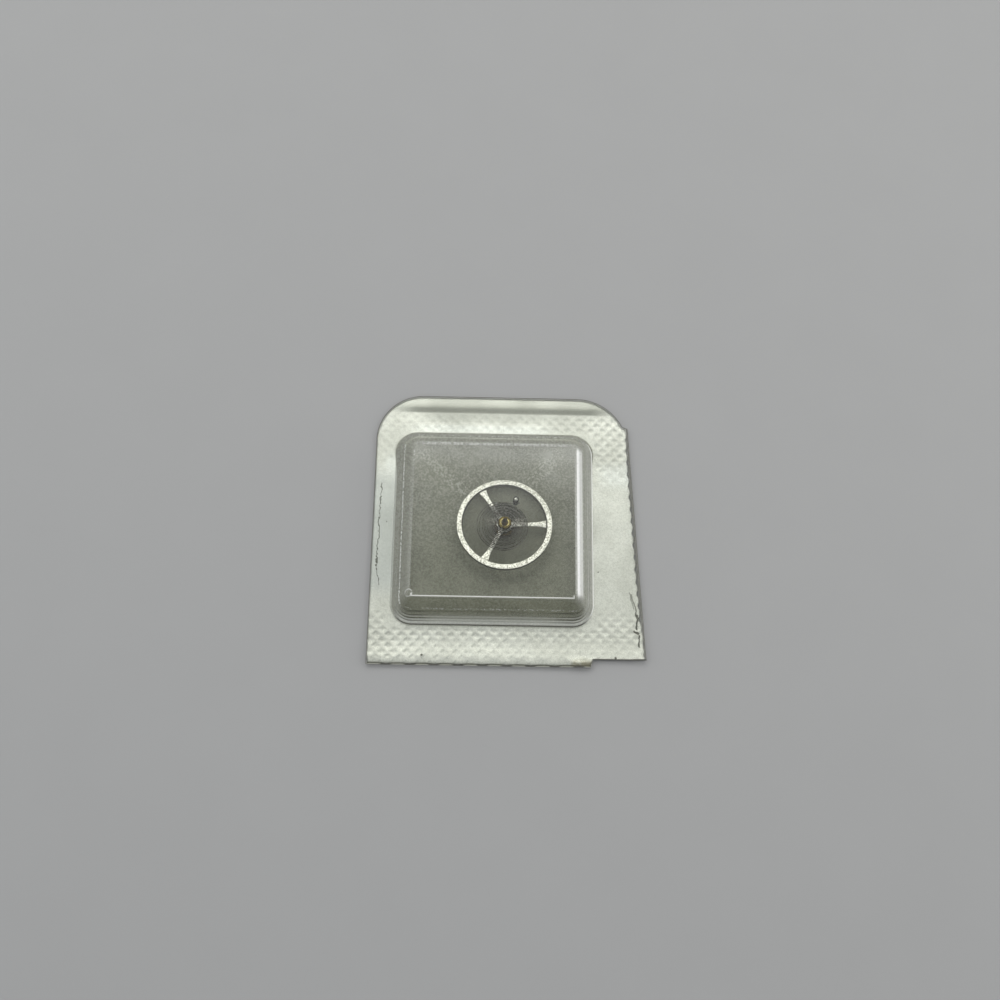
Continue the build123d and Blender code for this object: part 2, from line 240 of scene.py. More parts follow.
def ease(piece, width):
    """Rounds a piece's sharp edges, with smooth shading over the whole."""
    modifier = piece.modifiers.new("ease", "BEVEL")
    modifier.width = width * MM
    modifier.segments = 2
    modifier.limit_method = "ANGLE"
    modifier.angle_limit = math.radians(40)
    modifier.harden_normals = True
    apply(piece)
    piece.data.polygons.foreach_set("use_smooth", [True] * len(piece.data.polygons))


def apply(piece):
    """Fixes a piece's modifiers in its mesh."""
    graph = bpy.context.evaluated_depsgraph_get()
    mesh = bpy.data.meshes.new_from_object(piece.evaluated_get(graph))
    piece.modifiers.clear()
    piece.data = mesh


def combine(piece, tool, operation="DIFFERENCE"):
    """Cuts a tool from a piece, or joins the two, and removes the tool."""
    modifier = piece.modifiers.new("combine", "BOOLEAN")
    modifier.operation = operation
    modifier.solver = "EXACT"
    modifier.object = tool
    apply(piece)
    bpy.data.objects.remove(tool)


# Materials

class Nodes:
    """A material's node tree with short calls for adding to it. Lengths given to it are millimetres."""

    def __init__(self, name):
        self.material = bpy.data.materials.new(name)
        self.material.use_nodes = True
        self.tree = self.material.node_tree
        self.tree.nodes.clear()
        object_place = self.add("ShaderNodeTexCoord").outputs["Object"]
        scaled_place = self.add("ShaderNodeVectorMath", object_place, operation="SCALE", Scale=1 / MM)
        self.place = scaled_place.outputs["Vector"]
        self.x, self.y, self.z = self.add("ShaderNodeSeparateXYZ", self.place).outputs

    def add(self, kind, *values, **named):
        """A node. Values go to its first sockets in turn, and named ones to a socket or a setting."""
        node = self.tree.nodes.new(kind)
        for key, value in named.items():
            if key[0].islower():
                setattr(node, key, value)
            else:
                self.put(node.inputs[key.replace("_", " ")], value)
        for socket, value in zip(node.inputs, values):
            self.put(socket, value)
        return node

    def put(self, socket, value):
        """Links a socket, or sets it. A colour is given as three numbers."""
        if isinstance(value, bpy.types.NodeSocket):
            self.tree.links.new(value, socket)
        else:
            socket.default_value = (*value, 1) if socket.type == "RGBA" else value

    def noise(self, size, detail=3.0, roughness=0.55, distortion=0.0):
        """Noise whose lumps are about this many millimetres across."""
        return self.add(
            "ShaderNodeTexNoise", Vector=self.place, Scale=1 / size,
            Detail=detail, Roughness=roughness, Distortion=distortion,
        ).outputs["Fac"]

    def math(self, operation, *values):
        """An operation on one value, or on several in turn."""
        if len(values) == 1:
            return self.add("ShaderNodeMath", *values, operation=operation).outputs[0]
        return reduce(lambda a, b: self.add("ShaderNodeMath", a, b, operation=operation).outputs[0], values)

    def plus(self, *values):
        return self.math("ADD", *values)

    def times(self, *values):
        return self.math("MULTIPLY", *values)

    def most(self, *values):
        return self.math("MAXIMUM", *values)

    def minus(self, a, b):
        return self.math("SUBTRACT", a, b)

    def size(self, value):
        return self.math("ABSOLUTE", value)

    def sine(self, value, factor):
        return self.math("SINE", self.times(value, factor))

    def span(self, value, low_in, high_in, low=0.0, high=1.0):
        """A value mapped smoothly from one span to another, and kept inside it."""
        values = (value, low_in, high_in, low, high)
        return self.add("ShaderNodeMapRange", *values, clamp=True, interpolation_type="SMOOTHSTEP").outputs[0]

    def near(self, value, at, half, soft=1.6):
        """1 where a value is close to a place, with a soft edge."""
        return self.span(self.size(self.minus(value, at)), half, half * soft, 1.0, 0.0)

    def length(self, a, b):
        return self.math("SQRT", self.plus(self.times(a, a), self.times(b, b)))

    def off_cell(self):
        """How far a place lies outside the rounded foot of the cell: negative under the dome."""
        gap_x = self.minus(self.size(self.minus(self.x, CELL_X)), CELL_W / 2 - CELL_CORNER)
        gap_y = self.minus(self.size(self.minus(self.y, CELL_Y)), CELL_D / 2 - CELL_CORNER)
        corner = self.length(self.most(gap_x, 0.0), self.most(gap_y, 0.0))
        side = self.math("MINIMUM", self.most(gap_x, gap_y), 0.0)
        return self.minus(self.plus(corner, side), CELL_CORNER)

    def staff_axes(self):
        """The place as it is seen from the staff."""
        local = []
        for axis, shift in zip(STAFF.T, FOOT @ STAFF):
            row = self.add("ShaderNodeVectorMath", self.place, axis, operation="DOT_PRODUCT")
            local.append(self.minus(row.outputs["Value"], float(shift)))
        return local

    def stroke(self, start, end, half, wander):
        """1 along a line between two places that wanders from side to side."""
        run = np.array(end) - np.array(start)
        length = float(np.linalg.norm(run))
        ahead_x, ahead_y = (run / length).tolist()
        dx, dy = self.minus(self.x, start[0]), self.minus(self.y, start[1])
        along = self.plus(self.times(dx, ahead_x), self.times(dy, ahead_y))
        across = self.minus(self.times(dy, ahead_x), self.times(dx, ahead_y))
        across = self.plus(across, self.span(self.noise(0.9, 3, 0.7), 0.3, 0.7, -wander, wander))
        begun = self.span(along, -half, half)
        unended = self.span(along, length - half, length + half, 1.0, 0.0)
        return self.times(self.near(across, 0.0, half), self.times(begun, unended))

    def mix(self, factor, a, b):
        node = self.add("ShaderNodeMix", factor, data_type="RGBA")
        self.put(node.inputs[6], a)
        self.put(node.inputs[7], b)
        return node.outputs[2]

    def mottled(self, noise, a, b):
        return self.mix(self.span(noise, 0.35, 0.65), a, b)

    def paint(self, colour, *layers):
        """A colour with others laid over it, each given as its cover and its colour."""
        for cover, layer in layers:
            colour = self.mix(cover, colour, layer)
        return colour

    def bump(self, *layers):
        """The normal under bumps laid over each other, each given as its height, strength and depth."""
        normal = None
        for height, strength, depth in layers:
            node = self.add("ShaderNodeBump", Strength=strength, Distance=depth * MM, Height=height)
            if normal:
                self.put(node.inputs["Normal"], normal)
            normal = node.outputs["Normal"]
        return normal

    def turned(self, radius, level, patch):
        """The normal of turned and polished metal: fine rings about the staff, and slow waves."""
        rings = self.sine(self.plus(radius, level), 2 * math.pi / TURNING)
        return self.bump((rings, 0.12, 0.002), (patch, 0.15, 0.004))

    def blend(self, factor, a, b):
        return self.add("ShaderNodeMixShader", factor, a, b).outputs[0]

    def clear(self, colour):
        return self.add("ShaderNodeBsdfTransparent", Color=colour).outputs[0]

    def shader(self, colour, roughness, **named):
        named = {"Base_Color": colour, "Roughness": roughness, **named}
        return self.add("ShaderNodeBsdfPrincipled", **named).outputs[0]

    def done(self, surface):
        self.add("ShaderNodeOutputMaterial", Surface=surface)
        return self.material


def foil_material():
    """Aluminium foil: bright round the cell, duller under it, with a hairline crack and specks, with painted
    glare, and with painted shade and light on the flange and the floor.
    """
    g = Nodes("foil")
    # Under the cell the foil is duller; at the far side this look reaches a little past the foot, as painted
    # shade along it
    inner = g.span(g.minus(g.off_cell(), g.span(g.y, 5.0, 9.5, 0.0, 0.36)), -0.20, -0.05, 1.0, 0.0)
    cloud, patch = g.noise(5.0, 2), g.noise(0.9, 3, 0.6)
    grain, coarse = g.noise(0.14, 4, 0.7), g.noise(0.19, 2, 0.6)
    dots = g.span(coarse, 0.42, 0.60)
    glare = g.most(
        g.times(g.near(g.y, 10.95, 0.2, 3.6), g.near(g.x, -3.0, 4.5, 2.0)),
        g.times(g.near(g.y, 5.9, 0.4, 5.0), g.span(g.x, 9.0, 11.0)),
        g.times(g.near(g.y, 6.9, 0.1, 16.0), g.near(g.x, -12.5, 0.1, 12.0)),
    )
    shelf = g.times(g.near(g.y, 12.3, 0.35, 1.8), g.near(g.x, -2.0, 5.0, 1.8))
    ends = g.span(g.size(g.plus(g.x, 0.6)), 12.2, 9.0)
    lip = g.span(g.y, CREASE_Y, CREASE_Y + LIP_RUN)
    # Painted shade along the crease
    crease = g.times(g.span(g.y, CREASE_Y, CREASE_Y + 0.2), g.span(g.y, 14.1, 13.2), ends)
    # Painted shade on one side of the pattern's ridges that run away to the right, dark near the viewer
    u, v = g.times(g.x, 1 / PATTERN_X), g.times(g.y, 1 / PATTERN_Y)
    ridge = g.plus(g.minus(u, v), g.times(g.sine(g.x, SWAY_X), SWAY))
    cross = g.plus(u, v, g.times(g.sine(g.y, SWAY_Y), SWAY))
    ridge = g.times(
        g.near(g.math("FRACT", ridge), 0.16, 0.06, 3.2), g.near(g.math("FRACT", cross), 0.5, 0.22, 1.7),
        g.span(patch, 0.38, 0.55), g.span(g.y, -10.4, -11.2), g.span(g.x, 6.0, -8.0, 0.20, 0.45),
    )
    flange = g.paint(
        g.mottled(cloud, (0.74, 0.745, 0.70), (0.65, 0.655, 0.61)),
        # The near side of the flange painted lighter, as painted light
        (g.times(g.span(g.y, -6.0, -11.0), 0.5), (0.78, 0.78, 0.725)),
        (g.times(glare, g.span(grain, 0.30, 0.55, 0.15, 0.55)), (0.90, 0.93, 0.92)),
        (g.times(dots, 0.28), (0.40, 0.405, 0.36)),
        (g.times(g.near(g.y, -0.5, 5.0), g.span(g.x, -10.5, -12.3), 0.65), (0.44, 0.465, 0.46)),
        (g.times(shelf, 0.35), (0.33, 0.34, 0.31)),
        (g.times(lip, 0.5), (0.42, 0.43, 0.39)),
        (g.times(crease, 0.6), (0.22, 0.225, 0.19)),
        (ridge, (0.36, 0.37, 0.34)),
    )
    # Painted shade on the floor where the balance rests, as less sparkle and a darker tone; painted light
    # along two rays, as more sparkle; and the floor painted lighter towards the far side
    from_balance = g.length(g.minus(g.x, float(FOOT[0])), g.minus(g.y, float(FOOT[1]) + 0.5))
    rays = g.most(g.stroke((-9.4, 8.3), (-4.3, 3.5), 0.42, 0.1), g.stroke((5.5, 8.6), (2.5, 4.9), 0.6, 0.1))
    level = g.plus(0.18, g.times(g.span(from_balance, 3.4, 5.3), 0.32), g.times(rays, 0.38))
    floor = g.mix(
        g.times(dots, level), g.mottled(g.noise(3.5, 3), (0.165, 0.168, 0.126), (0.205, 0.208, 0.160)),
        g.mix(g.span(g.y, -6.0, 6.0), (0.30, 0.305, 0.25), (0.44, 0.445, 0.39)),
    )
    # The unsealed strip along the near edge, with painted shade in the gaps between the plies and on the
    # curled flap
    near = g.times(g.span(g.y, -14.25, -14.40), g.span(g.x, 9.0, 8.4))
    lens_half = g.times(g.size(g.sine(g.x, math.pi / NEAR_WAVE)), 0.13)
    lens = g.span(g.minus(g.size(g.plus(g.y, 14.50)), lens_half), -0.03, 0.05, 1.0, 0.0)
    flap = g.times(g.near(g.x, FLAP_X, 0.9, 1.5), g.span(g.y, -13.6, -14.3))
    # Cracks, and creases drawn dark as painted shade, then specks
    marks = g.most(
        g.stroke((-13.5, 4.7), (-13.69, -4.8), 0.035, 0.14),
        g.stroke((-13.69, -4.7), (-13.3, -6.4), 0.03, 0.12),
        g.stroke((13.61, -11.2), (13.60, -12.5), 0.065, 0.07),
        g.stroke((13.05, -10.77), (13.60, -11.18), 0.10, 0.09),
        g.stroke((13.38, -8.8), (13.47, -10.7), 0.06, 0.12),
        g.times(g.stroke((12.70, -6.73), (13.13, -8.51), 0.045, 0.05), 0.6),
        g.times(g.stroke((12.85, -6.94), (13.43, -8.81), 0.055, 0.05), 0.7),
    )
    spot = g.add("ShaderNodeTexVoronoi", Vector=g.place, Scale=1 / 2.2).outputs["Distance"]
    speck = g.times(g.span(spot, 0.05, 0.07, 1.0, 0.0), g.span(g.noise(2.6, 0), 0.58, 0.62))
    colour = g.paint(
        g.mix(inner, flange, floor),
        (g.times(near, 0.35), (0.42, 0.43, 0.37)),
        (g.times(near, lens, 0.75), (0.13, 0.13, 0.10)),
        (g.times(flap, g.span(patch, 0.35, 0.6, 0.35, 0.9)), (0.24, 0.22, 0.15)),
        (g.times(g.most(marks, speck), 0.9), (0.07, 0.07, 0.055)),
    )
    rough = g.mix(inner, g.mix(g.span(cloud, 0.3, 0.7), (0.36,) * 3, (0.46,) * 3), (0.62,) * 3)
    normal = g.bump((grain, 0.4, 0.02), (g.noise(1.6, 4, 0.6, 0.6), 0.3, 0.05))
    metal = g.span(inner, 0.0, 1.0, 0.70, 0.15)
    return g.done(g.shader(colour, rough, Metallic=metal, Normal=normal))


def film_material():
    """Outer skin of the clear film. It shows by gloss, haze on the roof, walls with painted shade and light,
    painted highlights on the folds and dark lines of painted shade.
    """
    g = Nodes("clear_film")
    off = g.off_cell()
    side_x, side_y = g.minus(g.x, CELL_X), g.minus(g.y, CELL_Y)
    size_x, size_y = g.size(side_x), g.size(side_y)
    grain, fine, cloud = g.noise(0.2, 2, 0.6), g.noise(0.12, 3, 0.7), g.noise(4.0, 3)
    speckle, soft_grain = g.span(grain, 0.48, 0.60), g.span(grain, 0.36, 0.64)
    roof = g.span(off, -ROOF_INSET + 0.05, -ROOF_INSET - 0.15)
    wall = g.times(g.span(off, 0.02, -0.05), g.span(roof, 0.0, 1.0, 1.0, 0.0))
    near, back = g.span(g.plus(side_y, size_x), 1.5, -1.0), g.span(g.minus(side_y, size_x), -1.5, 1.0)
    right, left = g.span(g.minus(side_x, size_y), -1.0, 1.5), g.span(g.plus(side_x, size_y), 1.0, -1.5)
    # Haze of the roof: stronger away from the viewer and towards the sides
    veil = g.plus(
        0.012, g.times(g.span(side_y, -5.0, 9.0), 0.10), g.times(g.span(size_x, 5.0, 8.4), 0.03),
        g.times(g.span(side_y, 5.0, 7.4), 0.13),
        g.times(g.span(side_x, 4.2, 5.8), g.span(side_y, 1.5, 5.0), 0.08),
    )
    veil = g.times(veil, g.span(cloud, 0.35, 0.65, 0.85, 1.15))
    rise = g.span(off, -1.30, -0.05)
    # The walls' haze paints shade and light: less haze on the near wall, more low on it and on the right wall
    wall_haze = g.plus(g.span(near, 0.0, 1.0, 0.28, 0.12), g.times(right, 0.15), g.times(near, rise, 0.60))
    wall_haze = g.times(wall_haze, g.span(grain, 0.35, 0.65, 0.93, 1.07))
    haze = g.plus(g.times(roof, veil), g.times(wall, wall_haze))
    # Painted highlights on the folds: the wide band on the right, thin ones round the roof and at the foot,
    # on the ledges, and a small swirl
    within = g.span(size_y, ROOF_Y + 0.2, ROOF_Y - 0.8)
    blot = g.span(g.noise(0.45, 3, 0.7), 0.40, 0.56)
    band = g.most(g.near(side_x, 8.74, 0.09, 3.4), g.times(g.near(side_x, 9.06, 0.12, 2.2), 0.8))
    band = g.times(band, within, g.span(grain, 0.25, 0.45, 0.8, 1.0))
    fuzz = g.times(g.near(side_x, 8.90, 0.34, 1.8), within, speckle, g.plus(0.15, g.times(blot, 0.6)))
    near_fold = g.times(g.near(off, -2.31, 0.045), g.span(side_y, 0.6 - ROOF_Y, 0.35 - ROOF_Y), 0.6)
    far_fold = g.times(g.near(off, -2.26, 0.10, 2.4), back, g.span(grain, 0.35, 0.65, 0.6, 1.0), 0.5)
    left_fold = g.times(g.near(off, -ROOF_INSET, 0.035), left, g.span(side_y, 3.0, 7.0), speckle, 0.6)
    far_ledge = g.times(g.near(off, -0.60, 0.05), back, speckle, blot, 0.5)
    left_ledge = g.times(g.near(off, -1.02, 0.06), left, g.span(grain, 0.46, 0.54), 0.85)
    near_ledge = g.times(g.near(off, -1.22, 0.05), near, speckle, 0.6)
    right_foot = g.times(g.near(off, -0.05, 0.045), right, 0.8)
    swirl_at = g.length(g.plus(side_x, 8.45), g.plus(side_y, 7.8))
    swirl = g.times(g.near(swirl_at, 0.36, 0.045), g.span(blot, 0.0, 1.0, 0.2, 0.5))
    painted_highlight = g.most(
        band, fuzz, near_fold, far_fold, far_ledge, left_fold, left_ledge, near_ledge, right_foot, swirl,
    )
    painted_highlight = g.math("MINIMUM", painted_highlight, 1.0)
    # Dark lines of painted shade: the foot where the wall meets the flange, the turn under the near fold, and
    # the near ledges
    foot = g.times(g.near(off, 0.0, 0.045), g.most(g.times(near, 0.9), 0.35))
    foot = g.times(foot, g.span(right, 0.0, 1.0, 1.0, 0.2))
    under = g.times(g.near(off, -2.12, 0.07), near, 0.4)
    ledge_darkness = {-0.30: 0.5, -0.51: 0.7, -0.73: 0.8, -1.02: 1.0}
    lines = [g.times(g.near(off, at, 0.032, 2.2), dark) for at, dark in ledge_darkness.items()]
    corner = g.span(size_x, 5.0, 8.2, 0.30, 0.75)
    ledges = g.times(g.most(*lines), g.most(g.times(near, corner), g.times(right, 0.25)))
    shade = g.most(foot, under, ledges)
    haze = g.most(haze, g.times(painted_highlight, 0.95), shade)
    wall_tint = g.mix(soft_grain, (0.53, 0.535, 0.48), (0.61, 0.62, 0.555))
    tint = g.paint(
        g.mix(wall, (0.72, 0.73, 0.67), wall_tint),
        # The near wall painted dark high up and light near its foot, and the right wall painted lighter
        (g.times(wall, near), g.mix(rise, (0.15, 0.155, 0.105), (0.84, 0.85, 0.78))),
        (g.times(wall, right, 0.6), (0.66, 0.67, 0.61)),
        (g.span(shade, 0.1, 0.6), (0.09, 0.09, 0.07)),
        (painted_highlight, (1.0, 1.0, 0.97)),
    )
    bump = g.bump((g.noise(0.55, 3, 0.6), 0.25, 0.03), (fine, 0.25, 0.012))
    body = g.shader(tint, 0.4, Normal=bump)
    gloss = g.add("ShaderNodeBsdfGlossy", Color=(0.9, 0.9, 0.88), Roughness=0.2, Normal=bump).outputs[0]
    shine = g.times(g.add("ShaderNodeFresnel", IOR=1.45, Normal=bump).outputs[0], 0.7)
    clear = g.clear(g.mix(wall, (0.98, 0.985, 0.965), (0.95, 0.955, 0.93)))
    return g.done(g.blend(shine, g.blend(haze, clear, body), gloss))


def under_film_material():
    """Inner skin of the film: clear, with a faint haze."""
    g = Nodes("clear_film_inside")
    body = g.shader((0.5, 0.51, 0.45), 0.5, Normal=g.bump((g.noise(0.7, 3, 0.6), 0.2, 0.03)))
    haze = g.span(g.noise(0.2, 2, 0.6), 0.4, 0.6, 0.002, 0.02)
    return g.done(g.blend(haze, g.clear((0.985, 0.99, 0.975)), body))


def edge_material():
    """The film's cut edge: painted dark as shade along the film's edge, with painted light on the waves of
    the near edge.
    """
    g = Nodes("film_edge")
    tone = g.mix(g.noise(0.4, 3), (0.07, 0.07, 0.055), (0.20, 0.20, 0.17))
    # Painted light on the waves of the near edge
    wave = g.span(g.size(g.sine(g.x, math.pi / NEAR_WAVE)), 0.45, 0.85)
    wave = g.times(wave, g.span(g.y, -14.2, -14.4), g.span(g.x, 9.0, 8.4))
    tone = g.mix(wave, tone, (0.46, 0.46, 0.40))
    return g.done(g.blend(0.85, g.clear((0.8, 0.8, 0.78)), g.shader(tone, 0.3)))


def brass_material():
    """Drawn brass with a fine grain."""
    g = Nodes("pin_brass")
    grain = g.noise(0.05, 4, 0.65)
    colour = g.mix(g.span(grain, 0.38, 0.6), (0.38, 0.28, 0.12), (0.62, 0.48, 0.24))
    rough = g.span(grain, 0.3, 0.7, 0.35, 0.2)
    return g.done(g.shader(colour, rough, Metallic=1.0, Normal=g.bump((grain, 0.3, 0.01))))


def spring_material():
    """Dark strip with bright glints, some of whose turns catch more light than others."""
    g = Nodes("spring_alloy")
    x, y, _ = g.staff_axes()
    streak = g.times(g.near(y, 0.1, 0.28, 2.2), g.near(g.size(x), 1.4, 0.5, 1.5))
    grain = g.noise(0.17, 2, 0.6)
    glint = g.most(g.span(grain, 0.55, 0.61), g.times(streak, g.span(grain, 0.44, 0.54)))
    middle_x, middle_y = (unit(STUD_AZIMUTH) * -LAST_SHIFT).tolist()
    reach = g.length(g.minus(x, middle_x), g.minus(y, middle_y))
    lit = g.span(g.sine(reach, 2 * math.pi / LIT_TURNS), 0.1, 0.9)
    tone = g.mix(g.noise(0.5, 2), (0.018, 0.016, 0.013), (0.042, 0.038, 0.031))
    tone = g.mix(g.times(lit, g.span(reach, 0.9, 1.8)), tone, (0.17, 0.165, 0.15))
    colour = g.mix(glint, tone, g.mix(streak, (0.25, 0.24, 0.22), (0.55, 0.53, 0.49)))
    rough = g.span(glint, 0.0, 1.0, 0.5, 0.3)
    return g.done(g.shader(colour, rough, Metallic=0.3, Specular_IOR_Level=0.1))


def wheel_material():
    """Pale blasted metal that sparkles: bright grain on the faces, upright walls painted dark as shade, and
    darker grain near the hub as painted shade under the spring.
    """
    g = Nodes("wheel_metal")
    x, y, z = g.staff_axes()
    radius = g.length(x, y)
    grain, fine = g.noise(0.17, 2, 0.6), g.noise(0.09, 3, 0.7)
    inner_wall = g.span(z, RIM_LOW, RIM_HIGH, RIM_IN - RIM_SLOPE, RIM_IN)
    # Painted shade on the rim's upright walls
    walls = g.most(g.near(radius, inner_wall, 0.03, 1.6), g.span(radius, WHEEL_R - 0.035, WHEEL_R - 0.01))
    walls = g.times(walls, g.span(z, RIM_HIGH - 0.01, RIM_HIGH - 0.04))
    # Darker grain near the hub, as painted shade under the spring
    hub = g.span(radius, 3.1, 2.4, 0.0, 0.55)
    colour = g.paint(
        g.mix(g.span(grain, 0.42, 0.54), (0.52, 0.51, 0.44), (0.96, 0.95, 0.88)),
        (g.times(walls, 0.9), (0.06, 0.06, 0.045)),
        (g.times(hub, g.span(grain, 0.58, 0.50)), (0.16, 0.15, 0.13)),
    )
    rough = g.span(grain, 0.35, 0.6, 0.5, 0.28)
    metal = g.span(walls, 0.0, 1.0, 0.7, 0.2)
    normal = g.bump((grain, 0.9, 0.04), (fine, 0.5, 0.015))
    return g.done(g.shader(colour, rough, Metallic=metal, Normal=normal))


def steel_material():
    """Turned and polished steel in dark brown, with faint rings about the staff; lighter on the cone above
    the seat, and painted dark from the arbor's end up as a dark reflection.
    """
    g = Nodes("polished_steel")
    x, y, z = g.staff_axes()
    patch = g.noise(0.25, 3)
    colour = g.paint(
        g.mottled(patch, (0.10, 0.060, 0.02), (0.045, 0.028, 0.01)),
        (g.span(z, SEAT_HIGH - 0.1, SEAT_HIGH), (0.20, 0.12, 0.03)),
        # Painted dark reflection from the upper arbor's end up
        (g.span(z, ARBOR_HIGH - 0.06, ARBOR_HIGH), (0.035, 0.022, 0.01)),
    )
    rough = g.span(patch, 0.3, 0.7, 0.25, 0.37)
    return g.done(g.shader(colour, rough, Metallic=1.0, Normal=g.turned(g.length(x, y), z, patch)))


def gilt_material():
    """Gilt brass: dark gold with a painted highlight ring near the bore, and painted shade on the parts under
    the hub away from the near side.
    """
    g = Nodes("gilt")
    x, y, z = g.staff_axes()
    radius = g.length(x, y)
    patch = g.noise(0.25, 3)
    # Painted highlight ring on the collet's top near the bore
    ring = g.times(g.near(radius, 0.42, 0.025, 1.8), g.span(z, COLLET_HIGH - 0.08, COLLET_HIGH - 0.03))
    # Painted shade on the gilt under the hub, except towards the near side
    lower = g.span(z, HUB_HIGH, HUB_LOW)
    colour = g.paint(
        g.mottled(patch, (0.11, 0.082, 0.018), (0.055, 0.040, 0.008)),
        (g.times(ring, g.span(patch, 0.3, 0.6, 1.0, 0.5)), (0.62, 0.54, 0.25)),
        (g.times(lower, g.span(y, -0.75, -0.35)), (0.06, 0.05, 0.035)),
    )
    return g.done(g.shader(colour, 0.33, Metallic=1.0, Normal=g.turned(radius, z, patch)))


def stud_material():
    """Dark polished steel, with a painted highlight on top of its dome."""
    g = Nodes("dark_steel")
    upward = g.add("ShaderNodeSeparateXYZ", g.add("ShaderNodeNewGeometry").outputs["Normal"]).outputs[2]
    patch = g.noise(0.2, 3)
    colour = g.mottled(patch, (0.06, 0.06, 0.055), (0.025, 0.025, 0.022))
    # Painted highlight on the upward faces of the dome
    colour = g.mix(g.span(upward, 0.90, 0.985), colour, (0.40, 0.40, 0.37))
    return g.done(g.shader(colour, 0.25, Metallic=1.0, Normal=g.bump((patch, 0.15, 0.004))))


def ruby_material():
    g = Nodes("ruby")
    colour = g.mix(g.noise(0.15, 2), (0.55, 0.02, 0.07), (0.75, 0.06, 0.16))
    return g.done(g.shader(colour, 0.06, IOR=1.76, Coat_Weight=0.6, Alpha=0.85))


def floor_material():
    g = Nodes("floor")
    colour = g.mix(g.noise(9.0, 4), (0.325, 0.325, 0.32), (0.34, 0.34, 0.335))
    return g.done(g.shader(colour, 0.75, Normal=g.bump((g.noise(0.3, 3), 0.08, 0.01))))


# The materials of each slot, in the order of the numbers that a skin gives its faces
LOOKS = {
    "lidding_foil": [foil_material()],
    "clear_film": [film_material(), under_film_material(), edge_material()],
    "wheel_metal": [wheel_material()],
    "polished_steel": [steel_material()],
    "gilt_metal": [gilt_material()],
    "dark_steel": [stud_material()],
    "pin_brass": [brass_material()],
    "ruby": [ruby_material()],
}


# Card: its outline, and the skins between it and the cell

CENTRE = np.array([CELL_X, CELL_Y])
OUTLINE_STEP = 0.15


def straight(start, end):
    """Points of a side, without its end."""
    start, end = np.asarray(start, float), np.asarray(end, float)
    steps = max(round(np.linalg.norm(end - start) / OUTLINE_STEP), 1)
    return [start + (end - start) * t for t in np.linspace(0, 1, steps, endpoint=False)]


def curve(start, end, tangent):
    """Points of the arc from start to end that leaves along tangent, without its end."""
    start, end, tangent = (np.asarray(v, float) for v in (start, end, tangent))
    chord = end - start
    side = np.array([tangent[1], -tangent[0]])
    radius = (chord @ chord) / (2 * (chord @ side))
    centre = start + side * radius
    first = math.atan2(*(start - centre)[::-1])
    last = math.atan2(*(end - centre)[::-1])
    turn = (last - first) % (-2 * math.pi)
    steps = max(round(abs(turn) * radius / OUTLINE_STEP), 1)
    turns = np.linspace(0, turn, steps, endpoint=False)
    return [centre + radius * np.array([math.cos(first + t), math.sin(first + t)]) for t in turns]


nib_root = (SIDE_X - NIB_INSET, FAR_Y - FAR_CURVE_DROP)
nib = (nib_root[0] + NIB_W, nib_root[1] - NIB_DROP)
near_right = (SIDE_X, NEAR_STEP - FAR_Y)
step_top = (NEAR_STEP_X, NEAR_STEP - FAR_Y)
step_foot = (NEAR_STEP_X - NEAR_STEP_SLANT, -FAR_Y)
left_curve = ((-SIDE_X, FAR_Y - CARD_CORNER), (-SIDE_X + CARD_CORNER, FAR_Y))
far_curve = (SIDE_X - FAR_CURVE_RUN, FAR_Y)
OUTLINE = np.array(
    straight((-SIDE_X, -FAR_Y), left_curve[0])
    + curve(*left_curve, (0, 1))
    + straight(left_curve[1], far_curve)
    + curve(far_curve, nib_root, (1, 0))
    + straight(nib_root, nib)
    + straight(nib, near_right)
    + straight(near_right, step_top)
    + straight(step_top, step_foot)
    + straight(step_foot, (-SIDE_X, -FAR_Y))
)
COUNT = len(OUTLINE)
away = OUTLINE - CENTRE
DIRECTIONS = away / np.linalg.norm(away, axis=1)[:, None]
along_side = np.roll(OUTLINE, -1, 0) - np.roll(OUTLINE, 1, 0)
outward = np.column_stack([-along_side[:, 1], along_side[:, 0]])
OUTWARD = outward / np.linalg.norm(outward, axis=1)[:, None]


def cell_ring(inset, corner_share=1.0):
    """The dome's rounded outline at an inset, one point for each direction from its middle."""
    half_x, half_y = CELL_W / 2 - inset, CELL_D / 2 - inset
    corner = max(CELL_CORNER - inset * CORNER_LOSS, LEAST_CORNER) * corner_share
    d = np.abs(DIRECTIONS) + 1e-12
    reach = np.minimum(half_x / d[:, 0], half_y / d[:, 1])
    ring = d * reach[:, None]
    corner_x, corner_y = half_x - corner, half_y - corner
    bend = (ring[:, 0] > corner_x) & (ring[:, 1] > corner_y)
    b = d @ np.array([corner_x, corner_y])
    c = corner_x**2 + corner_y**2 - corner**2
    arc = b + np.sqrt(np.maximum(b * b - c, 0))
    ring[bend] = d[bend] * arc[bend, None]
    return CENTRE + ring * np.sign(DIRECTIONS)


rng = np.random.default_rng(7)
WAVES = [(rng.uniform(0, 2 * math.pi), rng.uniform(0, 2 * math.pi), rng.uniform(3, 8)) for _ in range(9)]


def undulation(x, y):
    """Slow, small waves of the sheet, between -1 and 1."""
    total = np.zeros_like(x)
    for turn, phase, length in WAVES:
        total += np.sin((x * math.cos(turn) + y * math.sin(turn)) * 2 * math.pi / length + phase)
    return total / (len(WAVES) / 2)


def diamonds(x, y):
    """The seal's pattern: rows of sunken diamonds, 1 at their bottoms and 0 on the ridges between them."""
    u = x / PATTERN_X + y / PATTERN_Y + SWAY * np.sin(y * SWAY_Y)
    v = x / PATTERN_X - y / PATTERN_Y + SWAY * np.sin(x * SWAY_X)
    from_edge = 0.5 - np.maximum(np.abs(u % 1 - 0.5), np.abs(v % 1 - 0.5))
    return smoothstep(0.05, 0.42, from_edge)


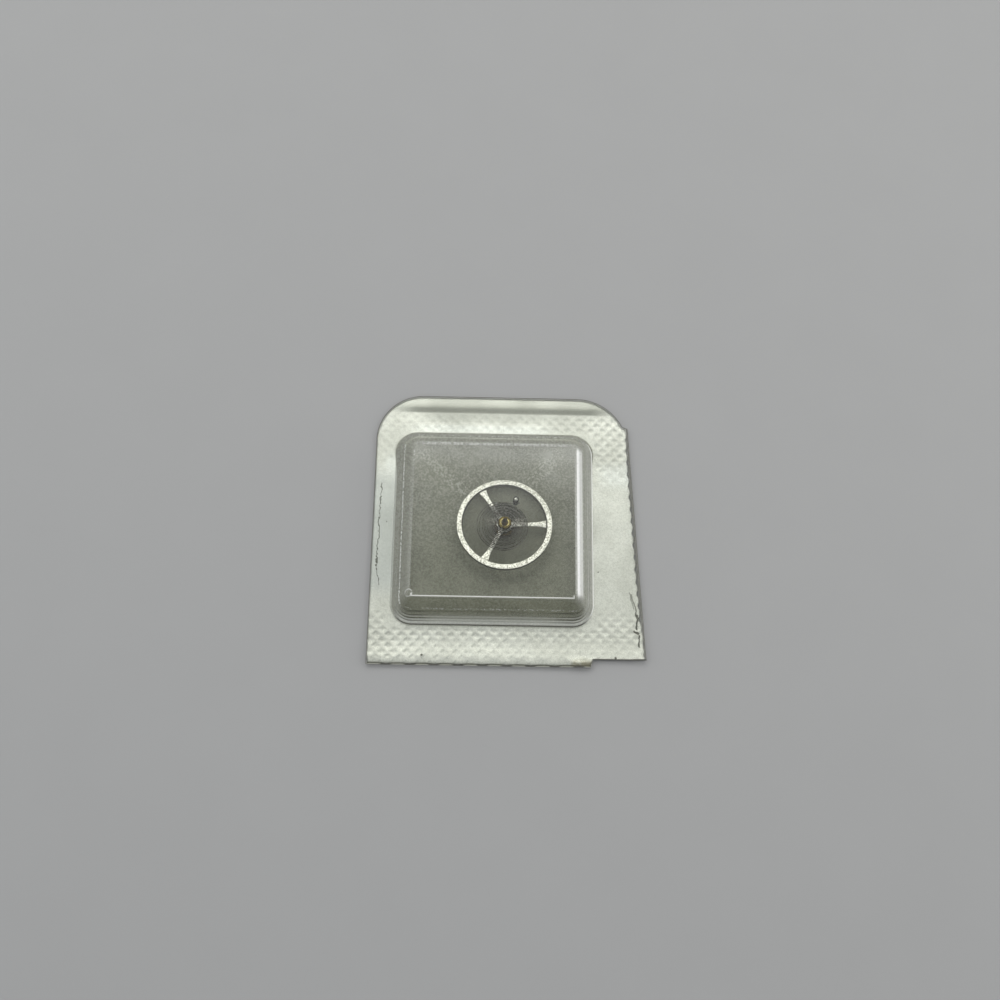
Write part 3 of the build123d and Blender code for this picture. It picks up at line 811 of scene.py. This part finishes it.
def pattern_strength(x, y):
    """Strong at the far right and along the near edge, and nearly pressed flat at the middle of the sides."""
    far = smoothstep(4.0, 9.0, y) * (0.35 + 0.65 * smoothstep(2.0, 9.0, x))
    near = smoothstep(-8.0, -10.6, y) * (1 - 0.7 * smoothstep(-11.6, -12.0, y) * smoothstep(-13.0, -8.0, x))
    return 0.10 + 0.90 * np.clip(far + near, 0, 1)


def sealed(x, y):
    """1 where the plies are sealed together, and so embossed."""
    off = np.maximum(np.abs(x - CELL_X) - CELL_W / 2, np.abs(y - CELL_Y) - CELL_D / 2)
    strip = smoothstep(-13.95, -13.75, y) + smoothstep(8.4, 9.2, x)
    return smoothstep(CREASE_Y, CREASE_Y - 0.4, y) * smoothstep(0.15, 0.55, off) * np.clip(strip, 0, 1)


def lift(x, y):
    """How far the sheet stands off its flat place: far lip, near edge, flap, torn side and left side."""
    ends = (1 - 0.7 * smoothstep(8.0, 12.0, x)) * (1 - 0.7 * smoothstep(-9.0, -13.0, x))
    outer = np.clip((y - CREASE_Y - LIP_RUN) / (FAR_Y - CREASE_Y - LIP_RUN), 0, 1)
    lip = (LIP_RISE * smoothstep(CREASE_Y, CREASE_Y + LIP_RUN, y) - LIP_FALL * outer**2) * ends
    near = NEAR_RISE * smoothstep(-12.0, -14.2, y) - NEAR_FALL * smoothstep(-14.15, -14.65, y)
    flap = np.exp(-((x - FLAP_X) ** 2)) * smoothstep(-13.5, -14.2, y)
    side = smoothstep(12.9, 14.2, x) * smoothstep(-6.0, -9.0, y)
    left = smoothstep(-12.9, -14.2, x) * smoothstep(2.0, -8.0, y)
    return lip + near + FLAP_RISE * flap + SIDE_RISE * side + LEFT_RISE * left


def near_waves(x, y):
    """Waves of the near edge, where the plies gape."""
    return smoothstep(-13.7, -14.3, y) * smoothstep(8.6, 7.5, x) * np.sin(math.pi * x / NEAR_WAVE) ** 2


def sheet_top(x, y, level, follows, wave):
    """Heights of a sheet's top, from its level, how far it follows the seal's pattern, and its near waves."""
    sunk = follows * PATTERN_DEPTH * diamonds(x, y) * pattern_strength(x, y) * sealed(x, y)
    slow = SLOW_WAVE * (1 + undulation(x, y))
    return level - sunk - slow + lift(x, y) + wave * near_waves(x, y)


def foil_top(x, y):
    return np.maximum(sheet_top(x, y, FOIL, 1, FOIL_WAVE), FOIL_PLY)


def film_top(x, y):
    return sheet_top(x, y, FOIL + FILM, FILM_FOLLOWS, FILM_WAVE)


def film_underside(x, y):
    return FOIL + PLY_GAP + lift(x, y)


def inside(places, loop):
    """Whether flat places lie inside a closed outline."""
    x, y = places[:, 0][:, None], places[:, 1][:, None]
    end = np.roll(loop, -1, 0)
    spans = (loop[:, 1] > y) != (end[:, 1] > y)
    slope = (end[:, 0] - loop[:, 0]) / np.where(end[:, 1] == loop[:, 1], 1, end[:, 1] - loop[:, 1])
    return (spans & (x < loop[:, 0] + (y - loop[:, 1]) * slope)).sum(1) % 2 == 1


def share_of(places, loop):
    """How far flat places lie on the way from the cell's middle to an outline round it: 1 is on it."""
    def polar(points):
        away = points - CENTRE
        return np.arctan2(away[:, 1], away[:, 0]), np.linalg.norm(away, axis=1)

    turns, reach = polar(loop)
    order = np.argsort(turns)
    at_turns, at_reach = polar(places)
    return at_reach / np.interp(at_turns, turns[order], reach[order], period=2 * math.pi)


def region(spacing, outer, *holes):
    """Triangles on an even grid over the region in an outline and round holes. Border points come first."""
    half = np.abs(outer - CENTRE).max()
    ticks = np.arange(-half, half, spacing)
    gx, gy = np.meshgrid(ticks, ticks + spacing / 2)
    grid = CENTRE + np.column_stack([gx.ravel(), gy.ravel()])
    clear = spacing * 0.6 / half
    keep = share_of(grid, outer) < 1 - clear
    for hole in holes:
        keep &= share_of(grid, hole) > 1 + clear
    places = np.vstack([outer, *holes, grid[keep]])
    border = COUNT * (1 + len(holes))
    edges = [(k, k + 1 if (k + 1) % COUNT else k + 1 - COUNT) for k in range(border)]
    found, _, faces, *_ = delaunay_2d_cdt([Vector(p) for p in places], edges, [], 0, 1e-7)
    places, faces = np.array([tuple(p) for p in found]), np.array([tuple(face) for face in faces])
    # A face between border points alone may lie outside the region
    good = (faces >= border).any(1)
    middles = places[faces[~good]].mean(1)
    within = inside(middles, outer)
    for hole in holes:
        within &= ~inside(middles, hole)
    good[~good] = within
    return places, faces[good]


class Skin:
    """Points and faces of one closed skin, with a material's number for each face."""

    def __init__(self):
        self.points, self.faces, self.looks = [], [], []

    def ring(self, places, heights):
        start = len(self.points)
        self.points += np.column_stack([places, np.broadcast_to(heights, len(places))]).tolist()
        return start

    def join(self, a, b, look=0):
        for k in range(COUNT):
            m = (k + 1) % COUNT
            self.faces.append((a + k, a + m, b + m, b + k))
        self.looks += [look] * COUNT

    def rings(self, levels, look=0):
        """Rings of places and heights, joined in turn. Gives the starts of the first and the last."""
        starts = [self.ring(*one) for one in levels]
        for a, b in zip(starts, starts[1:]):
            self.join(a, b, look)
        return starts[0], starts[-1]

    def cap(self, start, height, look=0):
        middle = len(self.points)
        self.points.append([*CENTRE, height])
        self.faces += [(start + k, start + (k + 1) % COUNT, middle) for k in range(COUNT)]
        self.looks += [look] * COUNT

    def plate(self, flat, height, look=0, border=None):
        """A region's triangles at the heights of a function of place, perhaps bordered by a ring in place."""
        places, faces = flat
        shared = 0 if border is None else COUNT
        own = places[shared:]
        start = self.ring(own, height(own[:, 0], own[:, 1]))
        numbers = np.arange(len(places)) - shared + start
        if shared:
            numbers[:shared] = np.arange(shared) + border
        self.faces += numbers[faces].tolist()
        self.looks += [look] * len(faces)
        return start

    def piece(self, name):
        piece = make(name, self.points, self.faces)
        piece.data.polygons.foreach_set("material_index", self.looks)
        return piece


# The foil is torn back from the film's edge: flats and bites on the right, slow waves on the near side
right_side = smoothstep(12.6, 13.2, OUTLINE[:, 0]) * smoothstep(11.9, 11.2, OUTLINE[:, 1])
right_side *= 1 - 0.6 * smoothstep(-9.5, -11.0, OUTLINE[:, 1])
near_side = smoothstep(-13.6, -14.0, OUTLINE[:, 1]) * smoothstep(9.0, 8.3, OUTLINE[:, 0])
tooth = (OUTLINE[:, 1] / TOOTH) % 1.0
in_bite = np.clip((tooth - TOOTH_FLAT) / (1 - TOOTH_FLAT), 0, 1)
bite = np.where(tooth < TOOTH_FLAT, 0.0, np.sin(in_bite * math.pi) ** 0.6)
jag = rng.uniform(0, 1, COUNT)
swing = np.cos(2 * math.pi * OUTLINE[:, 0] / NEAR_WAVE)
foil_inset = CUT_BACK + right_side * (TORN_BACK + BITE * bite + SIDE_JAG * jag)
foil_inset += near_side * (NEAR_BACK + NEAR_SWING * swing + NEAR_JAG * jag)
FOIL_OUTLINE = OUTLINE - OUTWARD * foil_inset[:, None]


def build_foil():
    foot = cell_ring(-FOIL_FOOT_OUT)
    flange = region(GRID, FOIL_OUTLINE, foot)
    floor = region(GRID * 5, foot)
    skin = Skin()
    edges = []
    for height in (foil_top, lambda x, y: foil_top(x, y) - FOIL_PLY):
        edges.append(skin.plate(flange, height))
        skin.plate(floor, height, border=edges[-1] + COUNT)
    skin.join(*edges)
    finish_piece(skin.piece("foil_sheet"), "backing", "lidding_foil", "foil_backing", crisp_from=None)


def roof_height(places, under=0.0):
    """The roof inside its rolled edge: a little lower than the edge, and bowed."""
    sag = np.prod(1 - ((places - CENTRE) / SAG_HALF) ** 2, axis=1)
    return FOIL + CELL_H - under - ROOF_DROP - ROOF_SAG * sag + ROOF_WAVE * undulation(*places.T)


def between(outer, inner, count, height):
    """Rings from an outline to one inside it, at the heights of a function of place."""
    rings = [outer + (inner - outer) * t for t in np.linspace(0, 1, count)]
    return [(ring, height(ring[:, 0], ring[:, 1])) for ring in rings]


def roof_rings(edge, under=0.0):
    rings = [CENTRE + (edge - CENTRE) * share for share in np.linspace(0.965, 0.05, ROOF_RINGS)]
    return [(ring, roof_height(ring, under)) for ring in rings]


def build_film():
    tiers = [(CELL_H * h, ROOF_INSET * i) for h, i in zip(HEIGHT_SHARES, INSET_SHARES)]
    foot_inset = FILM / tiers[1][0] * tiers[1][1]
    roof_edge = (CELL_H - ROOF_DROP, ROOF_INSET + EDGE_ROLL)
    outer = [(FILM, -FOOT_OUT), (FILM, foot_inset)] + tiers[1:] + [roof_edge]
    outer = rounded(outer, FOLD_EASE, closed=False)
    inner = [(PLY_GAP, -0.02), (0.02, FILM)] + [(h, i + FILM) for h, i in tiers[1:-2]]
    inner += [(CELL_H - FILM, tiers[-2][1] + FILM), (roof_edge[0] - FILM, roof_edge[1] + FILM)]
    inner = rounded(inner, INNER_FOLD_EASE, steps=2, closed=False)
    skin = Skin()
    # The strip along the film's edge takes the edge material, with its painted shade
    edge_line = (EDGE_LINE + SIDE_LINE * right_side)[:, None]
    flange = skin.plate(region(GRID, OUTLINE - OUTWARD * edge_line, cell_ring(-FOOT_OUT)), film_top)
    brim = skin.ring(OUTLINE, film_top(*OUTLINE.T))
    first, last = skin.rings([(cell_ring(inset), FOIL + height) for height, inset in outer[1:]])
    skin.join(flange + COUNT, first)
    roof_first, roof_last = skin.rings(roof_rings(cell_ring(outer[-1][1])))
    skin.join(last, roof_first)
    skin.cap(roof_last, float(roof_height(CENTRE[None])[0]))
    low, low_last = skin.rings(between(OUTLINE, cell_ring(-0.05), UNDER_RINGS, film_underside), 1)
    inside_rings = []
    for height, inset in inner:
        corner_share = 1 - (1 - INNER_CORNER) * smoothstep(0.0, 0.6, height)
        inside_rings.append((cell_ring(inset, corner_share), FOIL + height))
    first, last = skin.rings(inside_rings + roof_rings(cell_ring(inner[-1][1]), FILM), 1)
    skin.join(low_last, first, 1)
    skin.cap(last, float(roof_height(CENTRE[None], FILM)[0]), 1)
    skin.join(flange, brim, 2)
    skin.join(brim, low, 2)
    finish_piece(skin.piece("film_cell"), "cell", "clear_film", "blister_cell", crisp_from=None)


# Balance

def ring_outline(inner, outer, low, high):
    return [(inner, low), (outer, low), (outer, high), (inner, high)]


def build_wheel():
    rim = [(RIM_IN - RIM_SLOPE, RIM_LOW), (WHEEL_R, RIM_LOW), (WHEEL_R, RIM_HIGH), (RIM_IN, RIM_HIGH)]
    wheel = lathe("balance_rim_and_arms", rounded(rim, RIM_EASE), segments=256)
    half, hub_half, rim_half = ARM_W / 2, ARM_HUB_W / 2, ARM_RIM_W / 2
    flare_start = RIM_IN - ARM_RIM_FLARE
    side = [(HUB_R, hub_half)]
    for t in np.linspace(0.12, 1, 10):
        side.append((HUB_R + ARM_HUB_FLARE * t, half + (hub_half - half) * (1 - t) ** 2))
    for t in np.linspace(0, 1, 14):
        side.append((flare_start + ARM_RIM_FLARE * t, half + (rim_half - half) * t**2.1))
    side.append(((RIM_IN + WHEEL_R) / 2, rim_half))
    whole = [(x, -y) for x, y in side] + side[::-1]
    hub_turn = math.degrees(math.atan2(hub_half, HUB_R))
    outline = []
    for turn in (ARM_AZIMUTH, ARM_AZIMUTH + 120, ARM_AZIMUTH + 240):
        c, s = unit(turn)
        outline += [(c * x - s * y, s * x + c * y) for x, y in whole]
        hub = math.hypot(HUB_R, hub_half)
        outline += [tuple(hub * unit(t)) for t in np.linspace(turn + hub_turn + 6, turn + 114 - hub_turn, 9)]
    combine(wheel, prism("arms", outline, HUB_LOW, HUB_HIGH, ARM_EASE), "UNION")
    combine(wheel, lathe("bore", ring_outline(0, SEAT_R, HUB_LOW - PAST, HUB_HIGH + PAST)))
    finish_piece(wheel, "balance", "wheel_metal", "balance_wheel", 32)


def build_staff():
    outline = [
        (PIVOT_R, 0), (PIVOT_R, PIVOT_L), (CONE_R, LOWER_CONE), (ARBOR_R, PIVOT_L + PIVOT_CONE),
        (ARBOR_R, FLANGE_LOW), (FLANGE_R, FLANGE_LOW), (FLANGE_R, HUB_LOW), (SEAT_R, HUB_LOW),
        (SEAT_R, HUB_HIGH), (RIVET_R, HUB_HIGH), (RIVET_R, RIVET_HIGH), (COLLET_SEAT_R, RIVET_HIGH),
        (COLLET_SEAT_R, SEAT_HIGH), (UPPER_R, CONE_HIGH), (UPPER_R, ARBOR_HIGH), (CONE_R, UPPER_CONE),
        (PIVOT_R, PIVOT_LOW), (PIVOT_R, STAFF_LENGTH),
    ]
    body = rounded(outline, STAFF_EASE, steps=2, closed=False)
    staff = lathe("turned_staff", [(0, 0)] + body + [(0, STAFF_LENGTH)])
    finish_piece(staff, "balance", "polished_steel", "balance_staff", 50)


def build_rollers():
    half = math.degrees(math.acos(JEWEL_FLAT / JEWEL_R))
    stone = [np.array([JEWEL_AT, 0]) + JEWEL_R * unit(t) for t in np.linspace(half, 360 - half, 40)]
    ring = ring_outline(ARBOR_R, TABLE_R, TABLE_LOW, TABLE_HIGH)
    table = lathe("large_roller", rounded(ring, TABLE_EASE), segments=128)
    combine(table, prism("slot", stone, TABLE_LOW - PAST, TABLE_HIGH + PAST))
    finish_piece(table, "balance", "gilt_metal", "roller_table")
    ring = ring_outline(ARBOR_R, SAFETY_R, SAFETY_LOW, SAFETY_HIGH)
    safety = lathe("small_roller", rounded(ring, SAFETY_EASE))
    hollow = ring_outline(0, HOLLOW_R, HOLLOW_LOW, HOLLOW_HIGH)
    combine(safety, lathe("hollow", hollow, segments=64, centre=(SAFETY_R, 0)))
    finish_piece(safety, "balance", "gilt_metal", "safety_roller")
    jewel = prism("impulse_stone", stone, TABLE_HIGH - JEWEL_L, TABLE_HIGH, JEWEL_EASE)
    finish_piece(jewel, "balance", "ruby", "impulse_jewel")


# Hairspring: the same route as the part's source, of arcs that meet square to the line towards the stud

toward, past = unit(STUD_AZIMUTH), unit(STUD_AZIMUTH - 90)
exit_reach = math.sqrt(COLLET_R**2 - PIN_AT**2) + EXIT_L
bend_along = PIN_AT - BEND_R
bend_turn = math.degrees(math.atan2(exit_reach, bend_along))
first_radius = math.hypot(exit_reach, bend_along) + BEND_R
near_places = [first_radius + (NEAR_REACH - first_radius) / (TURNS - 0.5) * (k + 0.5) for k in range(TURNS)]
far_places = [first_radius + (FAR_REACH - first_radius) / TURNS * k for k in range(TURNS + 1)]
last_centre = -toward * LAST_SHIFT
last_radius = far_places[-1] - LAST_SHIFT
elbow_centre = last_centre + unit(ELBOW_AT) * (last_radius - ELBOW_R)
terminal_start = elbow_centre + unit(90) * ELBOW_R
terminal_end = np.array([STUD_X + STUD_R + TAIL_L, terminal_start[1]])
spring_start = toward * PIN_AT - past * START_SETBACK
spring_exit = toward * PIN_AT + past * exit_reach


def spring_route():
    """Points along the strip's middle line, seen from the staff, about 4 degrees apart."""
    arcs = [
        (toward * bend_along + past * exit_reach, BEND_R, STUD_AZIMUTH, bend_turn),
        (np.zeros(2), first_radius, STUD_AZIMUTH - bend_turn, 180 - bend_turn),
    ]
    for near, far, next_far in zip(near_places, far_places, far_places[1:]):
        arcs.append((toward * (near - far) / 2, (near + far) / 2, STUD_AZIMUTH + 180, 180))
        arcs.append((toward * (near - next_far) / 2, (near + next_far) / 2, STUD_AZIMUTH, 180))
    arcs.append((last_centre, last_radius, STUD_AZIMUTH + 180, STUD_AZIMUTH + 180 - ELBOW_AT))
    arcs.append((elbow_centre, ELBOW_R, ELBOW_AT, ELBOW_AT - 90))
    route = [spring_start + (spring_exit - spring_start) * t for t in np.linspace(0, 1, 6, endpoint=False)]
    for centre, radius, azimuth, turn in arcs:
        steps = max(math.ceil(turn / 4), 2)
        route += [centre + unit(azimuth - turn * k / steps) * radius for k in range(steps)]
    route += [terminal_start + (terminal_end - terminal_start) * t for t in np.linspace(0, 1, 12)]
    return np.array(route)


def build_hairspring():
    route = spring_route()
    ahead = np.gradient(route, axis=0)
    ahead /= np.linalg.norm(ahead, axis=1)[:, None]
    side = np.column_stack([-ahead[:, 1], ahead[:, 0]])
    half_t, half_h = STRIP_T / 2, STRIP_H / 2
    flat_t, flat_h = half_t - STRIP_EASE, half_h - STRIP_EASE
    section = [
        (-half_t, -flat_h), (-flat_t, -half_h), (flat_t, -half_h), (half_t, -flat_h),
        (half_t, flat_h), (flat_t, half_h), (-flat_t, half_h), (-half_t, flat_h),
    ]
    rings = []
    for place, across in zip(route, side):
        rings.append([(*(place + across * a), SPRING_LEVEL + b) for a, b in section])
    piece = swept("wound_hairspring", rings)
    crisp(piece, 30)
    piece.data.materials.append(spring_material())
    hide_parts("hairspring")
    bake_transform(piece)


def round_bar(name, middle, azimuth, stations, sides=24):
    """A round bar across the staff at the spring's level. Each station is a place along it and a radius."""
    ahead, across = unit(azimuth), unit(azimuth + 90)
    rings = []
    for along, radius in stations:
        circle = [radius * unit(360 * k / sides) for k in range(sides)]
        rings.append([(*(middle + ahead * along + across * u), SPRING_LEVEL + v) for u, v in circle])
    return swept(name, rings)


def hole(middle, azimuth, half):
    """A round bar that cuts a pin's hole."""
    return round_bar("hole", middle, azimuth, [(-half, HOLE_R), (half, HOLE_R)], sides=32)


def taper_pin(name, middle, azimuth, length):
    """A tapered pin with eased ends."""
    half, ease_by = length / 2, PIN_EASE_SHARE * length
    radii = (PIN_HEAD * PIN_R, PIN_R, PIN_TAPER * PIN_R, PIN_TIP * PIN_R)
    return round_bar(name, middle, azimuth, zip((-half, ease_by - half, half - ease_by, half), radii))


def build_collet():
    low, high, bevelled = COLLET_LOW, COLLET_HIGH, COLLET_R - COLLET_BEVEL
    ring = [
        (COLLET_SEAT_R, low), (bevelled, low), (COLLET_R, low + COLLET_BEVEL),
        (COLLET_R, high - COLLET_BEVEL), (bevelled, high), (COLLET_SEAT_R, high),
    ]
    split_turn = COLLET_SPLIT / ((COLLET_R + COLLET_SEAT_R) / 2)
    start = math.radians(STUD_AZIMUTH + 180)
    ring = rounded(ring, COLLET_EASE, steps=2)
    collet = lathe("split_collet", ring, segments=128, gap=split_turn, start=start)
    combine(collet, hole(toward * PIN_AT, STUD_AZIMUTH - 90, COLLET_HOLE_HALF))
    finish_piece(collet, "balance", "gilt_metal", "collet")
    offset = STRIP_T / 2 + PIN_GAP + PIN_R
    pin = taper_pin("collet_taper_pin", toward * (PIN_AT - offset), STUD_AZIMUTH - 90, COLLET_PIN_L)
    finish_piece(pin, "balance", "pin_brass", "collet_pin", 30)
    high, neck = STUD_LOW + STUD_H, STUD_R - GROOVE_DEPTH
    post = [
        (STUD_R - STUD_BEVEL, STUD_LOW), (STUD_R, STUD_LOW + STUD_BEVEL),
        (STUD_R, GROOVE_LEVEL - GROOVE_HALF), (neck, GROOVE_LEVEL), (STUD_R, GROOVE_LEVEL + GROOVE_HALF),
        (STUD_R, high - STUD_DOME),
    ]
    post += [(STUD_R * unit(t)[0], high - STUD_DOME * (1 - unit(t)[1])) for t in (20, 40, 60, 75)]
    domed = rounded([(0, STUD_LOW)] + post + [(0, high)], STUD_EASE, closed=False)
    hole_at = np.array([STUD_X, terminal_start[1]])
    stud = lathe("stud_post", domed, centre=hole_at + np.array([0, STUD_HOLE_OFFSET]))
    combine(stud, hole(hole_at, 0, STUD_HOLE_HALF))
    finish_piece(stud, "spring_anchor", "dark_steel", "stud", 40)
    pin = taper_pin("stud_taper_pin", hole_at + np.array([0, offset]), 180, STUD_PIN_L)
    finish_piece(pin, "spring_anchor", "dark_steel", "stud_pin", 30)


build_foil()
build_film()
build_wheel()
build_staff()
build_rollers()
build_hairspring()
build_collet()


# Floor, light and camera

FLOOR_HALF_M, FLOOR_GAP = 3, 0.02
corners = [(a * FLOOR_HALF_M, b * FLOOR_HALF_M, 0) for a, b in ((-1, -1), (1, -1), (1, 1), (-1, 1))]
floor_mesh = bpy.data.meshes.new("floor")
floor_mesh.from_pydata(corners, [], [(0, 1, 2, 3)])
floor = bpy.data.objects.new("floor", floor_mesh)
floor.location.z = -FLOOR_GAP * MM
bpy.context.scene.collection.objects.link(floor)
floor_mesh.materials.append(floor_material())


def build_world():
    """A soft room: brighter overhead and away from the viewer than on the viewer's side."""
    world = bpy.data.worlds.new("world")
    bpy.context.scene.world = world
    world.use_nodes = True
    nodes, links = world.node_tree.nodes, world.node_tree.links
    direction = nodes.new("ShaderNodeTexCoord").outputs["Generated"]
    facing = nodes.new("ShaderNodeVectorMath")
    facing.operation = "DOT_PRODUCT"
    facing.inputs[1].default_value = (0, 0.65, 0.76)
    links.new(direction, facing.inputs[0])
    strength = nodes.new("ShaderNodeMapRange")
    for socket, value in zip(strength.inputs[1:5], (-0.3, 1.0, 0.38, 0.86)):
        socket.default_value = value
    links.new(facing.outputs["Value"], strength.inputs[0])
    links.new(strength.outputs[0], nodes["Background"].inputs["Strength"])
    nodes["Background"].inputs["Color"].default_value = (0.94, 0.96, 1.0, 1)


def lamp(name, place_mm, size_mm, power, colour):
    """A soft rectangular lamp that faces the middle of the card."""
    light = bpy.data.lights.new(name, "AREA")
    light.shape = "RECTANGLE"
    light.size, light.size_y = size_mm[0] * MM, size_mm[1] * MM
    light.energy = power
    light.color = colour
    holder = bpy.data.objects.new(name, light)
    bpy.context.scene.collection.objects.link(holder)
    holder.location = Vector(place_mm) * MM
    holder.rotation_mode = "QUATERNION"
    holder.rotation_quaternion = (-holder.location).to_track_quat("-Z", "Y")


build_world()
lamp("back_soft", (-20, 190, 250), (300, 200), 0.33, (1.0, 0.99, 0.95))
lamp("right_soft", (210, 40, 130), (150, 230), 0.16, (1.0, 0.99, 0.96))
lamp("left_soft", (-230, 60, 150), (160, 240), 0.13, (0.97, 0.99, 1.0))

# With this place and lens, the camera sees the cell's and the card's corners as the photograph shows them
TILT, YAW, ROLL = math.radians(-16.94), math.radians(-0.965), math.radians(1.086)
CAMERA_MM = (-2.814, -30.523, 110.318)
SENSOR_W, LENS_SHARE = 36, 1.083

view = Matrix.Rotation(ROLL, 3, "Z") @ Matrix.Rotation(YAW, 3, "Y") @ Matrix.Rotation(TILT, 3, "X")
camera_data = bpy.data.cameras.new("camera")
camera_data.sensor_width = SENSOR_W
camera_data.lens = SENSOR_W * LENS_SHARE
camera_data.clip_start = 0.005
camera_data.clip_end = 20
camera = bpy.data.objects.new("camera", camera_data)
bpy.context.scene.collection.objects.link(camera)
# Rows of the photograph's frame, right, down and forwards, become the camera's right, up and backwards
rows = view @ Matrix.Diagonal(Vector((1, -1, -1)))
axes = Matrix((rows[0], -rows[1], -rows[2])).transposed()
camera.matrix_world = Matrix.Translation(Vector(CAMERA_MM) * MM) @ axes.to_4x4()
bpy.context.scene.camera = camera
bpy.context.scene.view_settings.view_transform = "Standard"
